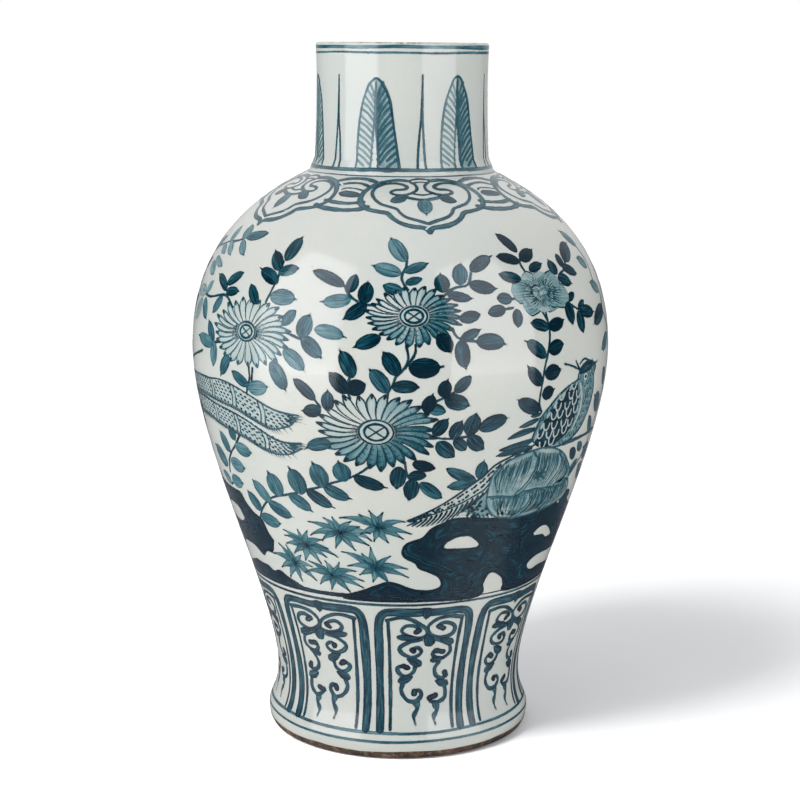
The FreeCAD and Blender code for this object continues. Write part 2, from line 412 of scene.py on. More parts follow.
# A drawn line spreads this much in the firing
LINE_SPREAD = 0.35
chance = np.random.default_rng(1403)


def smooth(points, closed=False, steps=6):
    """Points of a curve that passes through the given ones."""
    points = np.array(points, float)
    if closed:
        ring = np.vstack([points[-1:], points, points[:2]])
    else:
        ring = np.vstack([2 * points[0] - points[1], points, 2 * points[-1] - points[-2]])
    share = np.linspace(0, 1, steps, endpoint=False)[:, None]
    spans = []
    for a, b, c, d in zip(ring, ring[1:], ring[2:], ring[3:]):
        cubic = (3 * b - a - 3 * c + d) * share**3 + (2 * a - 5 * b + 4 * c - d) * share**2
        spans.append(b + (cubic + (c - a) * share) / 2)
    spans.append(ring[-2:-1])
    return np.vstack(spans)


def leaf_width(share):
    """A leaf's width along its way: full in the middle, with a hair of a tail at the tip."""
    blade = np.clip(share / 0.9, 0, 1)
    return np.maximum(blade**0.45 * (1 - blade) ** 0.5 * 1.95, 0.13)


def blade_width(share):
    """A grass blade's width: widest in its lower half, drawn out to a hair."""
    return np.clip(share * 4, 0.3, 1) ** 0.5 * np.clip(1.25 - share * 1.3, 0.16, 1)


def grass_width(share):
    """A grass leaf's width: full before its middle, then drawn out to a hair."""
    return np.maximum(np.clip(share * 2.0 + 0.25, 0, 1) * np.clip(1.5 - share * 1.5, 0, 1) ** 0.9, 0.16)


def drop_width(share):
    """A pressed brush's mark: rounded at its far end."""
    return np.clip(share * 2.2 + 0.15, 0, 1) ** 0.8 * np.clip((1 - share) * 5, 0, 1) ** 0.5


def even_width(share):
    """A line's width, with the small swells of an unsteady hand."""
    return 1 + 0.10 * np.sin(share * 9 + chance.uniform(0, 6)) + 0.06 * np.sin(share * 31)


def within(loops, x, y):
    """Whether places lie inside the first loop and outside the others, its holes."""
    odd = np.zeros(np.shape(x), bool)
    for loop in loops:
        for (ax, ay), (bx, by) in zip(loop, np.roll(loop, -1, 0)):
            if ay != by:
                odd ^= ((ay > y) != (by > y)) & (x < ax + (y - ay) / (by - ay) * (bx - ax))
    return odd


class Painting:
    """Strokes gathered into one mesh. A place is degrees and a height; the mesh is made from turns in
    radians and lengths along the outline. offset and side turn or mirror what is painted next."""

    def __init__(self):
        self.offset, self.side = 0.0, 1
        self.films = []
        self.count = 0

    def at(self, places):
        """Turns and lengths of places."""
        places = np.array(places, float)
        return np.column_stack([np.radians(self.offset + self.side * places[:, 0]), flat_of(places[:, 1])])

    def around(self, centre, points):
        """Points given in millimetres from a centre, rightwards and upwards along the wall."""
        middle = self.at([centre])[0]
        points = np.array(points, float)
        radius = radius_of(middle[1])
        return np.column_stack([middle[0] + self.side * points[:, 0] / radius, middle[1] + points[:, 1]])

    def film(self, turn, flat, layer, tone, inside, along, across):
        """A grid of points on the glaze, less the faces that hold no paint. inside is each point's distance
        within the stroke's edge, and along and across are where it is in the brush's marks."""
        out, up = facing_of(flat)
        # Strokes of one layer take turns at four heights, so that no two that cross share one
        lift = (layer + len(self.films) % 4 * 0.25) * LAYER_STEP
        radius = radius_of(flat) + out * lift
        height = np.interp(flat, ALONG, OUTLINE[:, 1]) + up * lift
        places = np.stack([radius * np.sin(turn), -radius * np.cos(turn), height], -1) * MM
        normals = np.stack([out * np.sin(turn), -out * np.cos(turn), up], -1)
        index = np.arange(turn.size).reshape(turn.shape)
        quads = np.stack([index[:-1, :-1], index[1:, :-1], index[1:, 1:], index[:-1, 1:]], -1).reshape(-1, 4)
        quads = quads[(inside.ravel()[quads] > -EDGE_MARGIN).any(1)]
        used, quads = np.unique(quads, return_inverse=True)
        brush = np.stack([along, across, np.full(turn.shape, chance.uniform(0, 50))], -1)
        values = [places, normals, brush, tone[..., None] + 0.0 * brush[..., :1], inside[..., None]]
        kept = [value.reshape(-1, value.shape[-1])[used] for value in values]
        self.films.append((kept, quads.reshape(-1, 4) + self.count))
        self.count += len(used)

    def ribbon(self, path, width, tone, layer=1, shape=even_width, shade=None):
        """A stroke of a greatest width along turns and lengths. shape gives the width's share along the
        way, and shade the tone's share by the way along and across."""
        # The path in millimetres on a cylinder of its mean radius, and how much wider the vase is there
        radius = radius_of(path[:, 1])
        mean = radius.mean()
        girth = radius / mean
        flat_path = np.column_stack([path[:, 0] * mean, path[:, 1]])
        # It runs on straight past both ends, to leave room for round ends and a soft edge
        margin = EDGE_MARGIN + (width / 2 if shape is even_width else 0)
        ends = [flat_path[1] - flat_path[0], flat_path[-1] - flat_path[-2]]
        ends = [end / max(np.hypot(*end), 1e-6) * margin for end in ends]
        flat_path = np.vstack([flat_path[0] - ends[0], flat_path, flat_path[-1] + ends[1]])
        girth = np.concatenate([girth[:1], girth, girth[-1:]])
        steps = np.hypot(np.diff(flat_path[:, 0]) * (girth[1:] + girth[:-1]) / 2, np.diff(flat_path[:, 1]))
        reach = np.concatenate([[0], np.cumsum(steps)]) - margin
        length = reach[-1] - margin
        # The grid: rows across the stroke, one after another along it
        rows = max(5, int((length + 2 * margin) / min(FILM_GRAIN, max(width, FINEST_GRAIN))) + 2)
        columns = max(3, int((width + 2 * EDGE_MARGIN) / FILM_GRAIN) + 2)
        along = np.linspace(-margin, length + margin, rows)[:, None]
        aside = np.linspace(-1, 1, columns)[None, :] * (width / 2 + EDGE_MARGIN)
        x, y, stretch = [np.interp(along, reach, values) for values in (*flat_path.T, girth)]
        dx, dy = np.gradient(x, axis=0) * stretch, np.gradient(y, axis=0)
        size = np.maximum(np.hypot(dx, dy), 1e-9)
        turn = (x - dy / size * aside / stretch) / mean
        flat = y + dx / size * aside
        share = np.clip(along / max(length, 1e-6), 0, 1)
        beyond = np.maximum(np.maximum(-along, along - length), 0)
        half = width / 2 * shape(share)
        inside = half - np.hypot(aside, beyond)
        shares = np.ones(inside.shape) if shade is None else shade(share, aside / np.maximum(half, 0.2))
        self.film(turn, flat, layer, tone * shares, inside, *np.broadcast_arrays(along, aside))

    def line(self, places, width, tone, layer=1, shape=even_width):
        """A smooth line through places, with its width in millimetres, how much cobalt it holds, and its
        layer: a higher one hides what lies under it."""
        self.ribbon(smooth(self.at(places)), width + LINE_SPREAD, tone, layer, shape)

    def hoop(self, height, width, tone, layer=1):
        """A line all round the vase that wavers a little, and is darker where the brush was filled."""
        turns = np.radians(np.arange(-180, 181, 3.0))
        waver = 0.22 * np.sin(turns * 3 + height) + 0.12 * np.sin(turns * 8 + height * 2)
        path = np.column_stack([turns, flat_of(height) + waver])

        def refilled(share, across):
            return 0.88 + 0.2 * np.sin(share * 40 + height)

        self.ribbon(path, width, tone, layer, shade=refilled)

    def leaf(self, base, tip, tone, width, layer=2, shape=leaf_width):
        """A leaf from its stalk to its tip, a little bent, darker along one side. A true leaf has a dark
        touch at its tip, and half of them have a vein."""
        first, last = self.at([base, tip])
        radius = radius_of(first[1])
        run, rise = (last[0] - first[0]) * radius, last[1] - first[1]
        sway = chance.uniform(-0.1, 0.1)
        middle = (first + last) / 2 + np.array([-rise / radius, run]) * sway
        heavy = chance.choice([-1, 1]) * chance.uniform(0.05, 0.22)
        fade = chance.uniform(-0.1, 0.2)
        path = bend(first, middle, last, count=14)
        self.ribbon(path, width, tone, layer, shape, lambda share, across: 1 + heavy * across - fade * share)
        if shape is leaf_width:
            self.ribbon(path[-3:-1], 1.3, tone + 0.35, layer + 1, drop_width)
            if chance.uniform() > 0.5:
                self.ribbon(path[1:-4], 0.9, tone * 1.2 + 0.06, layer + 1, blade_width)

    def region(self, outline, holes, tone, layer=1, shade=None):
        """A painted patch inside a smooth outline, less its holes."""
        loops = [smooth(self.at(loop), True) for loop in [outline, *holes]]
        low, high = loops[0].min(0), loops[0].max(0)
        radius = radius_of((low[1] + high[1]) / 2)
        columns = int((high[0] - low[0]) * radius / FILM_GRAIN) + 3
        rows = int((high[1] - low[1]) / FILM_GRAIN) + 3
        pad = np.array([1 / radius, 1.0])
        turn, flat = np.meshgrid(
            np.linspace(low[0] - pad[0], high[0] + pad[0], columns),
            np.linspace(low[1] - pad[1], high[1] + pad[1], rows),
            indexing="ij",
        )
        x, y = turn * radius, flat
        near = np.full(x.shape, 1e9)
        loops = [np.column_stack([loop[:, 0] * radius, loop[:, 1]]) for loop in loops]
        for loop in loops:
            for (ax, ay), (bx, by) in zip(loop, np.roll(loop, -1, 0)):
                run, rise = bx - ax, by - ay
                share = np.clip(((x - ax) * run + (y - ay) * rise) / max(run * run + rise * rise, 1e-9), 0, 1)
                near = np.minimum(near, np.hypot(x - ax - share * run, y - ay - share * rise))
        inside = np.where(within(loops, x, y), near, -near)
        shares = np.ones(x.shape) if shade is None else shade(x, y)
        self.film(turn, flat, layer, tone * shares, inside, x + y, 0.5 * inside + 0.2 * y)

    def finish(self, name):
        """Makes one piece of all the strokes."""
        parts = [np.concatenate([kept[number] for kept, _ in self.films]) for number in range(5)]
        places, normals, brush, tone, inside = parts
        piece = new_piece(name, places, np.concatenate([quads for _, quads in self.films]))
        mesh = piece.data
        mesh.normals_split_custom_set_from_vertices(normals.tolist())
        mesh.attributes.new("brush", "FLOAT_VECTOR", "POINT").data.foreach_set("vector", brush.ravel())
        mesh.attributes.new("tone", "FLOAT", "POINT").data.foreach_set("value", tone.ravel())
        mesh.attributes.new("inside", "FLOAT", "POINT").data.foreach_set("value", inside.ravel())
        mesh.materials.append(COBALT)
        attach(piece, "root")


# How strongly full cobalt holds back red, green and blue, and how much more red a heavy coat holds back
COBALT_DEPTH = (5.1, 3.35, 2.75)
RED_GAIN = 1.9
# Streaks run long along the brush and close together across it
BRISTLES = (0.10, 1.3, 1.0)


def cobalt_material():
    """Cobalt under the glaze. More of it goes from a pale grey-blue wash over teal to a near-black navy."""
    material, where = new_material("cobalt_under_glaze")
    glaze, rough, normal = glaze_parts(where)
    inside = where.node("ShaderNodeAttribute", {"attribute_name": "inside"}, None, "Fac")
    tone = where.node("ShaderNodeAttribute", {"attribute_name": "tone"}, None, "Fac")
    brush = where.node("ShaderNodeAttribute", {"attribute_name": "brush"}, None, "Vector")
    edge = inside + (where.noise(620.0, 2.0) - 0.5) * 0.6
    cover = edge.between(-0.14, 0.34)
    streak = brush.vector("MULTIPLY", BRISTLES).noise(1.0, 2.0).between(0.25, 0.75, 0.58, 1.22)
    cloud = (where.noise(140.0, 2.0) - 0.5) * 0.5
    pool = edge.between(0.2, 1.5, 0.30, 0.0)
    amount = (tone * (streak + cloud + pool)).math("MINIMUM", 1.12)
    red, green, blue = [(amount * -depth).math("EXPONENT") for depth in COBALT_DEPTH]
    red = red * (amount * amount * -RED_GAIN).math("EXPONENT")
    # The paint on the lower band and on the neck lets more red through, which greys it; on the neck this is
    # painted sheen, standing in for the glaze's gleam over the cobalt
    height = where.axis("Z")
    grey_and_sheen = height.between(0.098, 0.122, 1.0, 0.0) + height.between(0.352, 0.372)
    red = red + grey_and_sheen * 0.017
    passed = red.node("ShaderNodeCombineColor", None, {0: red, 1: green, 2: blue})
    glaze.tinted(passed).surface(rough, normal, Alpha=cover).show()
    return material


COBALT = cobalt_material()

# The neck: lines under the rim and at the root, six split plantain leaves that are pale on their left half
# and dark on their right, and a slender spike between each two.

LEAF_TURNS = (-75.0, -15.5, 40.0, 100.5, 161.0, 223.0)
SPIKE_TURNS = (-45.5, 12.5, 70.5, 131.0, 192.0, 254.5)
LEAF_FOOT, LEAF_TOP, SPLIT_TOP = 372.5, 430.0, 405.0
# Height, width, tone and layer of each line round the neck
NECK_LINES = ((447.3, 2.6, 0.42, 2), (443.7, 1.6, 0.46, 1), (372.3, 2.4, 0.56, 5), (368.7, 1.5, 0.6, 1))
HATCH_HEIGHTS = np.arange(378, 426, 3.9)

neck = Painting()
for line in NECK_LINES:
    neck.hoop(*line)
for number, middle in enumerate(LEAF_TURNS):
    neck.offset = middle
    top = LEAF_TOP - 1.5 * (number % 2)
    # The leaf at the left edge is paler
    wash, hatch = (0.19, 0.43) if number else (0.08, 0.28)
    left_side = [(-14.2, LEAF_FOOT), (-14.0, 388), (-12.6, 404), (-9.8, 416), (-6.4, 424), (-1.6, top)]
    right_side = [(14.3, LEAF_FOOT), (12.4, 385), (10.0, 401), (7.6, 415), (3.6, 424), (-1.6, top)]
    left_split = [(-4.6, LEAF_FOOT), (-3.6, 390), (-2.4, SPLIT_TOP)]
    right_split = [(1.0, LEAF_FOOT), (-0.4, 390), (-1.7, SPLIT_TOP)]
    neck.region(left_side + [(-1.7, 414)] + left_split[::-1], [], 0.04, 1)
    neck.region(right_side + [(-1.6, 414)] + right_split[::-1], [], wash, 1)
    neck.line(left_side[:-1] + [(-4.2, top - 2), (-1.8, top - 0.4), (0.2, top - 0.8)], 1.3, 0.38, 4)
    neck.line(right_side[:-1] + [(1.4, top - 2), (-1.2, top - 0.5), (-3.0, top - 1.0)], 1.4, 0.52, 4)
    neck.line(left_split, 1.1, 0.36, 4)
    neck.line(right_split + [(-1.7, 416), (-1.5, top - 2.5)], 1.4, 0.46, 5)
    for height in HATCH_HEIGHTS:
        left = np.interp(height, [LEAF_FOOT, 388, 404, 416, 426], [-13.6, -13.4, -12, -9.2, -4.8])
        split = np.interp(height - 6, [LEAF_FOOT, SPLIT_TOP], [-4.2, -2.4])
        sway = chance.uniform(-0.5, 0.5)
        if left < split - 2:
            slope = [(left, height), ((left + split) / 2, height - 3.2 + sway), (split, height - 7.5)]
            neck.line([place for place in slope if place[1] > LEAF_FOOT], 1.3, 0.26, 3)
        right = np.interp(height, [LEAF_FOOT, 385, 401, 415, 427], [13.2, 11.4, 9.0, 6.6, 2.6])
        split = np.interp(height - 11, [LEAF_FOOT, SPLIT_TOP], [0.6, -1.4])
        slope = [(split, height - 11), ((right + split) / 2, height - 4 + sway), (right, height + 1)]
        slope = [place for place in slope if place[1] > LEAF_FOOT - 1]
        if right > split + 2 and len(slope) > 1:
            neck.line(slope, 1.7, hatch, 3)
for middle in SPIKE_TURNS:
    neck.offset = middle
    lean = chance.uniform(-0.5, 0.5)
    peak = (lean + 0.4, LEAF_TOP + 0.5)
    for side in (-1, 1):
        places = [(2.7 * side, LEAF_FOOT), (1.6 * side, 390), (0.5 * side + lean, SPLIT_TOP), peak]
        neck.line(places, 1.5, 0.5, 2, lambda share: 1 - 0.35 * share)
neck.finish("neck_painting")

# The shoulder: a cloud collar of five lobed heads that hang from the neck, joined by double links, each
# drawn in double lines with two curls and a small leaf inside.

HEAD_TURNS = (-58.3, 9.5, 78.0, 150.5, 225.0)
HEAD_OUTLINE = [
    (5.7, 366.3), (11, 366.7), (16.5, 366.2), (22, 364.6), (26, 361.2), (27.2, 357.6), (26, 353.8),
    (22.6, 351), (18, 349.7), (14.7, 348.9), (12.7, 346.4), (10, 343.9), (6.2, 342), (1.6, 341), (0, 338.8),
]
HEAD_CURL = [
    (0.2, 343.4), (3.5, 345), (7.5, 346.8), (9.8, 349), (11.2, 351.2), (13.8, 352.3), (18, 354),
    (21.3, 357), (22.8, 360), (21.7, 362.8), (17.5, 364.6), (12.8, 365), (8.7, 364.3), (6.7, 363),
    (8.2, 361.8), (12, 361.5), (14.3, 360.5), (13.2, 359.2), (9, 358.7), (5.4, 359.6), (2.4, 361.4),
    (2.2, 363.8), (4.8, 365.6),
]
HEAD_ARCS = (
    ([(-9, 358.3), (-5, 356.9), (0, 356.2), (5, 356.9), (9, 358.3)], 2.5),
    ([(-4.4, 359.5), (0, 358.8), (4.4, 359.5)], 1.5),
    ([(-6, 366.2), (-3, 367.1), (1.5, 367.4), (7, 366.6)], 1.8),
    ([(-3.4, 365.3), (1, 365.7), (4.4, 365.2)], 1.3),
)
LINK = (
    ([(-12, 352.3), (-8, 350.9), (0, 350), (7, 350.5), (11, 352)], 3.4),
    ([(-9, 355), (-4, 354.1), (2, 353.7), (8.6, 354.6)], 2.9),
    ([(-11, 365.6), (-6, 366.8), (0, 367.2), (6, 366.8), (10.8, 365.6)], 3.0),
    ([(-8.6, 363.4), (-3, 364.5), (3, 364.6), (8.2, 363.2)], 2.2),
    ([(7.4, 360.6), (2, 361.7), (-2.6, 361.9), (-4.8, 361)], 1.3),
)
# Painted highlights: three short strokes in the glaze's own colour break the collar's lines where the glaze
# gleams, as degrees and heights
GLINT_BREAKS = ([(8.4, 340.3), (9.8, 342.2)], [(-32, 364), (-29.6, 362.6)], [(-49, 347.2), (-48, 347.8)])
COLLAR_TONE = 0.62

collar = Painting()
for number, middle in enumerate(HEAD_TURNS):
    for side in (1, -1):
        collar.offset, collar.side = middle, side
        collar.line(HEAD_OUTLINE, 3.2, COLLAR_TONE, 3)
        collar.line(HEAD_CURL, 2.2, COLLAR_TONE, 2)
        collar.leaf((7.4, 358), (14.6, 354.9), 0.8, 7.5, 3)
    collar.side = 1
    for path, width in HEAD_ARCS:
        collar.line(path, width, COLLAR_TONE, 2)
    collar.leaf((0.1, 356.6), (-0.2, 347.8), 0.6, 9.5, 3)
    gap = (HEAD_TURNS[(number + 1) % 5] - middle) % 360
    collar.offset = middle + gap / 2
    for path, width in LINK:
        collar.line([(x * gap / 68, z) for x, z in path], width, COLLAR_TONE, 2)
    collar.leaf((7.4, 357.9), (-5, 359.2), 0.85, 6.4, 3, drop_width)
collar.offset = 0
# Painted highlights: glaze-coloured strokes laid over the collar's lines
for glint_break in GLINT_BREAKS:
    collar.line(glint_break, 1.0, 0.0, 6)
collar.finish("cloud_collar")

# The sprays: stems and leaves of the flowering branches. A leaf is its stalk's place, its tip's place, how
# dark it is and its width in millimetres.

PALE, MID, MID_DARK, DARK, VERY_DARK = 0.3, 0.5, 0.7, 1.02, 1.5
STEM_WIDTH, STEM_TONE = 1.5, 0.68
FRONT_LEAVES = (
    (-59.5, 331, -47.8, 335, MID_DARK, 7), (-60.5, 328.5, -54.3, 320, MID, 6),
    (-60.5, 329, -62, 338, MID, 9), (-68.5, 326.5, -62.5, 318.5, MID, 6), (-69.5, 326, -69.5, 336, MID, 8),
    (-74, 323, -67.7, 318.5, MID, 6), (-74, 316, -63.8, 311.5, MID, 5), (-76, 312, -68, 305, MID, 7),
    (-56.2, 299, -64.8, 307.5, DARK, 6), (-57.2, 303, -50.2, 311.5, DARK, 7),
    (-56.3, 298.5, -49.7, 300, DARK, 6), (-57.3, 294.5, -61.5, 283, MID_DARK, 7),
    (-69.5, 294, -66, 302.5, MID, 6), (-69.3, 291, -64.8, 278.5, MID_DARK, 8), (-70, 294, -80, 293, PALE, 8),
    (-71, 289, -77, 275, PALE, 10), (-58.5, 267, -63.2, 279.5, MID_DARK, 8),
    (-59, 265.5, -70.3, 267.5, MID, 8), (-58.3, 267, -58.8, 250.5, MID, 9),
    (-41.5, 294.5, -46.2, 306, DARK, 7), (-50.5, 260.5, -55, 246.5, MID_DARK, 8),
    (-35.6, 320.5, -33, 335, DARK, 9), (-36.5, 315, -41.5, 326, DARK, 8),
    (-36.8, 313.5, -29.7, 317, MID_DARK, 7), (-36, 307.5, -44.5, 315, DARK, 8),
    (-37.3, 299.5, -28.3, 299, MID_DARK, 9.5), (-31.7, 284, -28, 293.5, MID_DARK, 7),
    (-26, 277.5, -23.8, 292, MID_DARK, 10), (-25.8, 277.5, -19.7, 265.5, MID_DARK, 9),
    (-22.3, 283, -13.6, 279, MID, 8), (-31, 269, -24.3, 257, MID, 9),
    (-34.8, 261, -30, 243.5, MID_DARK, 10), (-35, 261, -31, 251, MID_DARK, 7),
    (-15.5, 308.5, -26.5, 316.5, DARK, 7), (-14, 305, -12.5, 316, DARK, 7),
    (-13.2, 301.5, -21.7, 299, MID, 8), (-9.7, 299, -8.9, 312, DARK, 9), (-9, 298.5, -15, 289.5, DARK, 8),
    (-5, 280, -12, 273.5, DARK, 8), (-11.8, 256, -15.5, 272.5, DARK, 9), (-0.5, 258, -4.6, 272.5, DARK, 9),
    (0, 316, -8.5, 320.5, MID, 8), (0.5, 306, -5.2, 310, MID_DARK, 7), (1.5, 323, -3.5, 336.5, MID, 9),
    (1, 317, 8.2, 322, MID_DARK, 6), (1.3, 310.5, 6.3, 313.5, MID_DARK, 5),
    (11.5, 305.5, 11, 316.5, DARK, 9), (16.3, 309.5, 17.5, 322, MID_DARK, 9), (20, 317, 28, 325, DARK, 8),
    (19, 310, 27.2, 306.5, DARK, 8), (12.5, 304.5, 19.7, 301.5, DARK, 6), (15.3, 290, 21.5, 292.5, DARK, 7),
    (15.3, 278, 21, 284, DARK, 6), (19.5, 276.5, 28.1, 274, DARK, 9.5), (15.5, 278, 16.8, 260, DARK, 9),
    (9.5, 281.5, 13, 270.5, VERY_DARK, 9), (2.2, 262.5, 10.9, 263, VERY_DARK, 11.5),
    (31, 300, 26, 301.5, DARK, 7), (28.5, 294.5, 22.8, 292.5, DARK, 7), (31.8, 294, 31.6, 282.5, DARK, 7),
    (37.5, 326, 32, 337.5, VERY_DARK, 7), (37, 320.5, 28.7, 324.5, VERY_DARK, 7),
    (37.5, 321.5, 44.3, 327, VERY_DARK, 8), (35.5, 311, 28, 315, DARK, 7),
    (39.5, 315, 45.8, 318.5, DARK, 6), (50.5, 311.5, 49, 320.5, DARK, 8),
    (55, 314.5, 54.5, 323.5, DARK, 6.5), (57, 318, 65.8, 328, DARK, 10), (54.5, 314.5, 61.7, 309, DARK, 7),
    (50.5, 309.5, 56.3, 304.5, DARK, 8), (51.5, 295.5, 56.2, 299.5, DARK, 5), (51, 294.5, 52, 280, DARK, 9),
    (56, 289.5, 60.5, 294, DARK, 5), (56.5, 288.5, 65.8, 285, DARK, 8), (55.5, 288, 57, 273.5, DARK, 9),
    (42, 282, 48.5, 285, VERY_DARK, 8), (42, 281, 35.3, 285.5, DARK, 7),
    (41.5, 267, 47.5, 270.5, VERY_DARK, 9), (40.2, 264, 33.3, 275.5, DARK, 8),
    (75, 285, 63.5, 277, DARK, 10), (73, 325, 66, 335, MID, 8), (72, 312, 66, 318, MID, 8),
    (76, 297, 68, 303, MID, 8), (77, 268, 69, 260, MID, 9), (-42.8, 245, -49.8, 252.5, MID_DARK, 7),
    (-43, 243, -35.5, 246, MID, 9), (-52.8, 206, -54.5, 215, MID_DARK, 8),
    (-53.3, 202, -45.5, 200.5, MID, 9), (-57.5, 196.5, -61.5, 209.5, MID_DARK, 9),
    (-58.7, 189, -50.6, 188, MID, 9.5), (-62, 186, -69.5, 197, MID_DARK, 12),
    (-62, 175, -54.3, 176.5, MID, 9), (-63.5, 173.5, -69.5, 178.5, MID, 8),
    (-42.5, 169, -49, 182.5, MID, 9), (-48.2, 161, -53.5, 173, MID_DARK, 9),
    (-38, 174.5, -40.8, 190.5, MID_DARK, 12), (-43.5, 168.5, -34, 161, MID_DARK, 9),
    (-49.3, 157, -39.8, 155, MID_DARK, 9), (-22, 241, -28.5, 253.5, DARK, 7),
    (-20.5, 235.5, -26, 233.5, DARK, 8), (-18.7, 235, -18.4, 248, DARK, 8),
    (-13.3, 246.5, -18.3, 258.8, VERY_DARK, 9), (-13.4, 248.5, -8.3, 253, VERY_DARK, 9.5),
    (-3, 247.5, -8, 262, MID_DARK, 9), (-2, 250.5, 5.3, 250.5, DARK, 7.5),
    (-18.3, 214.5, -26, 209.5, MID_DARK, 8), (-15, 190.5, -16.7, 203.5, MID_DARK, 11),
    (-22, 185, -24.5, 201.5, MID_DARK, 11.5), (-29.5, 178.5, -32.5, 196, MID_DARK, 12),
    (-12.5, 193.5, -3.2, 187, DARK, 8), (-21.8, 186, -13.5, 178.5, MID_DARK, 8),
    (-27.5, 182, -19.1, 171.5, DARK, 8), (-34.3, 177, -26.5, 167, MID_DARK, 8.5),
    (6.3, 235.5, 8.3, 247, VERY_DARK, 8), (6.8, 238.5, 12, 235, MID_DARK, 7),
    (10.8, 244.5, 12, 255.5, VERY_DARK, 8), (13.8, 247.5, 18.2, 257.5, DARK, 7),
    (11.3, 243.5, 18.2, 238.5, DARK, 9.5), (8.7, 221, 12.5, 231.5, DARK, 8),
    (13.6, 218.5, 16.2, 230, DARK, 8), (17.8, 220.5, 19.8, 234.5, DARK, 10),
    (21, 223.5, 29.7, 229.5, DARK, 9.5), (18.3, 219.5, 23.2, 210, DARK, 9), (14.3, 218, 18, 210, DARK, 7),
    (9.8, 216.5, 15, 206, DARK, 9), (3.5, 203.5, 10.2, 199.5, VERY_DARK, 7),
    (0, 201, -0.8, 185.5, DARK, 9.5), (2.5, 195, 7.8, 195, DARK, 6.5), (3.6, 193, 2.6, 178, DARK, 9),
    (5.8, 190.5, 12.8, 179, MID_DARK, 7.5), (21.7, 190, 12, 200.5, MID_DARK, 7),
    (20.5, 188, 12.9, 187, MID_DARK, 6.5), (23.3, 191, 23.5, 203.5, MID_DARK, 8),
    (40, 254.5, 46.3, 255, VERY_DARK, 9.5), (39.2, 247.5, 34, 260.5, DARK, 8),
    (39.5, 241, 44, 243.5, VERY_DARK, 8.5), (39.3, 231.5, 31, 240.5, DARK, 9),
    (62, 192, 57, 200.5, DARK, 7), (66.5, 196.5, 61.5, 203, MID_DARK, 6), (61, 181.5, 66, 190, MID_DARK, 8),
    (76, 190, 68, 197, MID_DARK, 11), (75, 174, 68.5, 185, MID_DARK, 10),
    (70.5, 206, 65, 219.5, MID_DARK, 7), (74, 220, 66.5, 232, MID_DARK, 11),
    (76, 236, 72, 248, MID_DARK, 9), (-82, 249.5, -87, 259, MID_DARK, 8), (-86, 246.5, -93, 250, MID, 8),
)
FRONT_STEMS = (
    [(-78, 322), (-70, 326), (-64, 327.5), (-59, 330.5)],
    [(-70, 293.5), (-65, 293), (-58, 296), (-55, 295.5), (-51, 290)],
    [(-58.5, 266.5), (-55, 268)], [(-87, 246), (-80, 250), (-66, 259)], [(-31.5, 280.5), (-26, 276.5)],
    [(-36.3, 320), (-36.5, 310), (-38.5, 296)],
    [(-15.3, 308.5), (-13.5, 303), (-9.5, 298.5), (-4.5, 298.5)],
    [(1.8, 326), (1.5, 320), (0.3, 315), (0.6, 311), (2, 307)],
    [(11.3, 303), (13, 306), (15, 308), (18.5, 309.5), (20, 316)],
    [(13.2, 285), (14, 281), (15.5, 278.5), (20, 276.8)],
    [(1.5, 275), (2, 268), (1, 262), (-1, 257), (-2, 251)],
    [(3.8, 276), (3.7, 271), (2.5, 266), (1.2, 262)],
    [(28, 294.5), (31, 295)], [(38.3, 312), (37, 319), (37.5, 322)],
    [(49.5, 304), (50.5, 309), (52, 311.5), (55, 313.5), (57.5, 318)],
    [(50.5, 295.5), (53, 292.5), (56, 289)],
    [
        (40, 293), (42, 284), (42, 275), (41, 266), (39.8, 257), (39.5, 252), (39, 244), (38.8, 236),
        (40, 230),
    ],
    [(41.5, 292), (42, 284)],
    [(-42.5, 258), (-42.2, 250), (-43, 245), (-43.8, 239)],
    [(-41, 256), (-41.5, 248)],
    [(-62, 181), (-60, 189), (-57, 196), (-53, 203), (-50, 210)],
    [(-64, 172), (-60, 176)], [(-22, 241), (-20.5, 236.5)], [(-2.2, 251), (-3, 247), (-3.3, 242)],
    [(-12, 262), (-12.6, 256), (-13.3, 249), (-12.5, 243)],
    [
        (-8, 201), (-11, 196), (-15, 191.5), (-19, 188.5), (-23, 185), (-28, 181.5), (-31, 179),
        (-35, 176.5), (-40, 173.5), (-44, 169), (-48, 161.5), (-50, 156),
    ],
    [(6.2, 236), (9.2, 242), (11, 244), (13.5, 247)],
    [(4, 222), (9, 219.5), (13, 218.5), (18, 219.5), (20.5, 223)],
    [(1.4, 204), (2, 196), (2.8, 193)], [(36, 302), (31, 300), (28, 301)],
    [(67.5, 329), (72, 324), (74, 314), (72.6, 303), (76, 294), (74.6, 284), (78.4, 272), (77, 264)],
    [(61, 178), (66, 186), (71, 196), (72, 208), (75, 222), (77, 240)],
)


def spray(painting, leaves, stems):
    """Stems first, then their leaves over them, which are painted paler toward the left: painted reflection
    of the gleam that lies over the glaze on that side.
    """
    for path in stems:
        painting.line(path, STEM_WIDTH, STEM_TONE, 1)
    for number, (x, z, tip_x, tip_z, tone, width) in enumerate(leaves):
        # Painted reflection: leaves toward the left are made paler, for the glaze's gleam over them
        paled_by_gleam = np.interp(x, [-70, -60, -42, -24], [0.62, 0.84, 0.84, 1.0])
        painting.leaf((x, z), (tip_x, tip_z), tone * paled_by_gleam, width * 1.08, 2 + number % 2)


front = Painting()
spray(front, FRONT_LEAVES, FRONT_STEMS)
front.finish("front_sprays")

# The flowers: three chrysanthemums, each a ring of long petals drawn in fine lines round a crossed eye, a
# small full peony, and a great loose feathery flower below the pheasant, over the rock.


def petal_width(share):
    """A long petal: it widens steadily from the eye and closes in a short point."""
    return np.clip(0.3 + share, 0, 1) * np.clip((1.02 - share) * 4.2, 0, 1) ** 0.6


def oval(turn, across, up):
    """The place at a turn, or at each of several, round an oval with these half sizes."""
    return np.stack([np.cos(turn) * across, np.sin(turn) * up], -1)


def aside_of(aim):
    """The direction square to an aim, on its left, and as long."""
    return np.array([-aim[1], aim[0]])


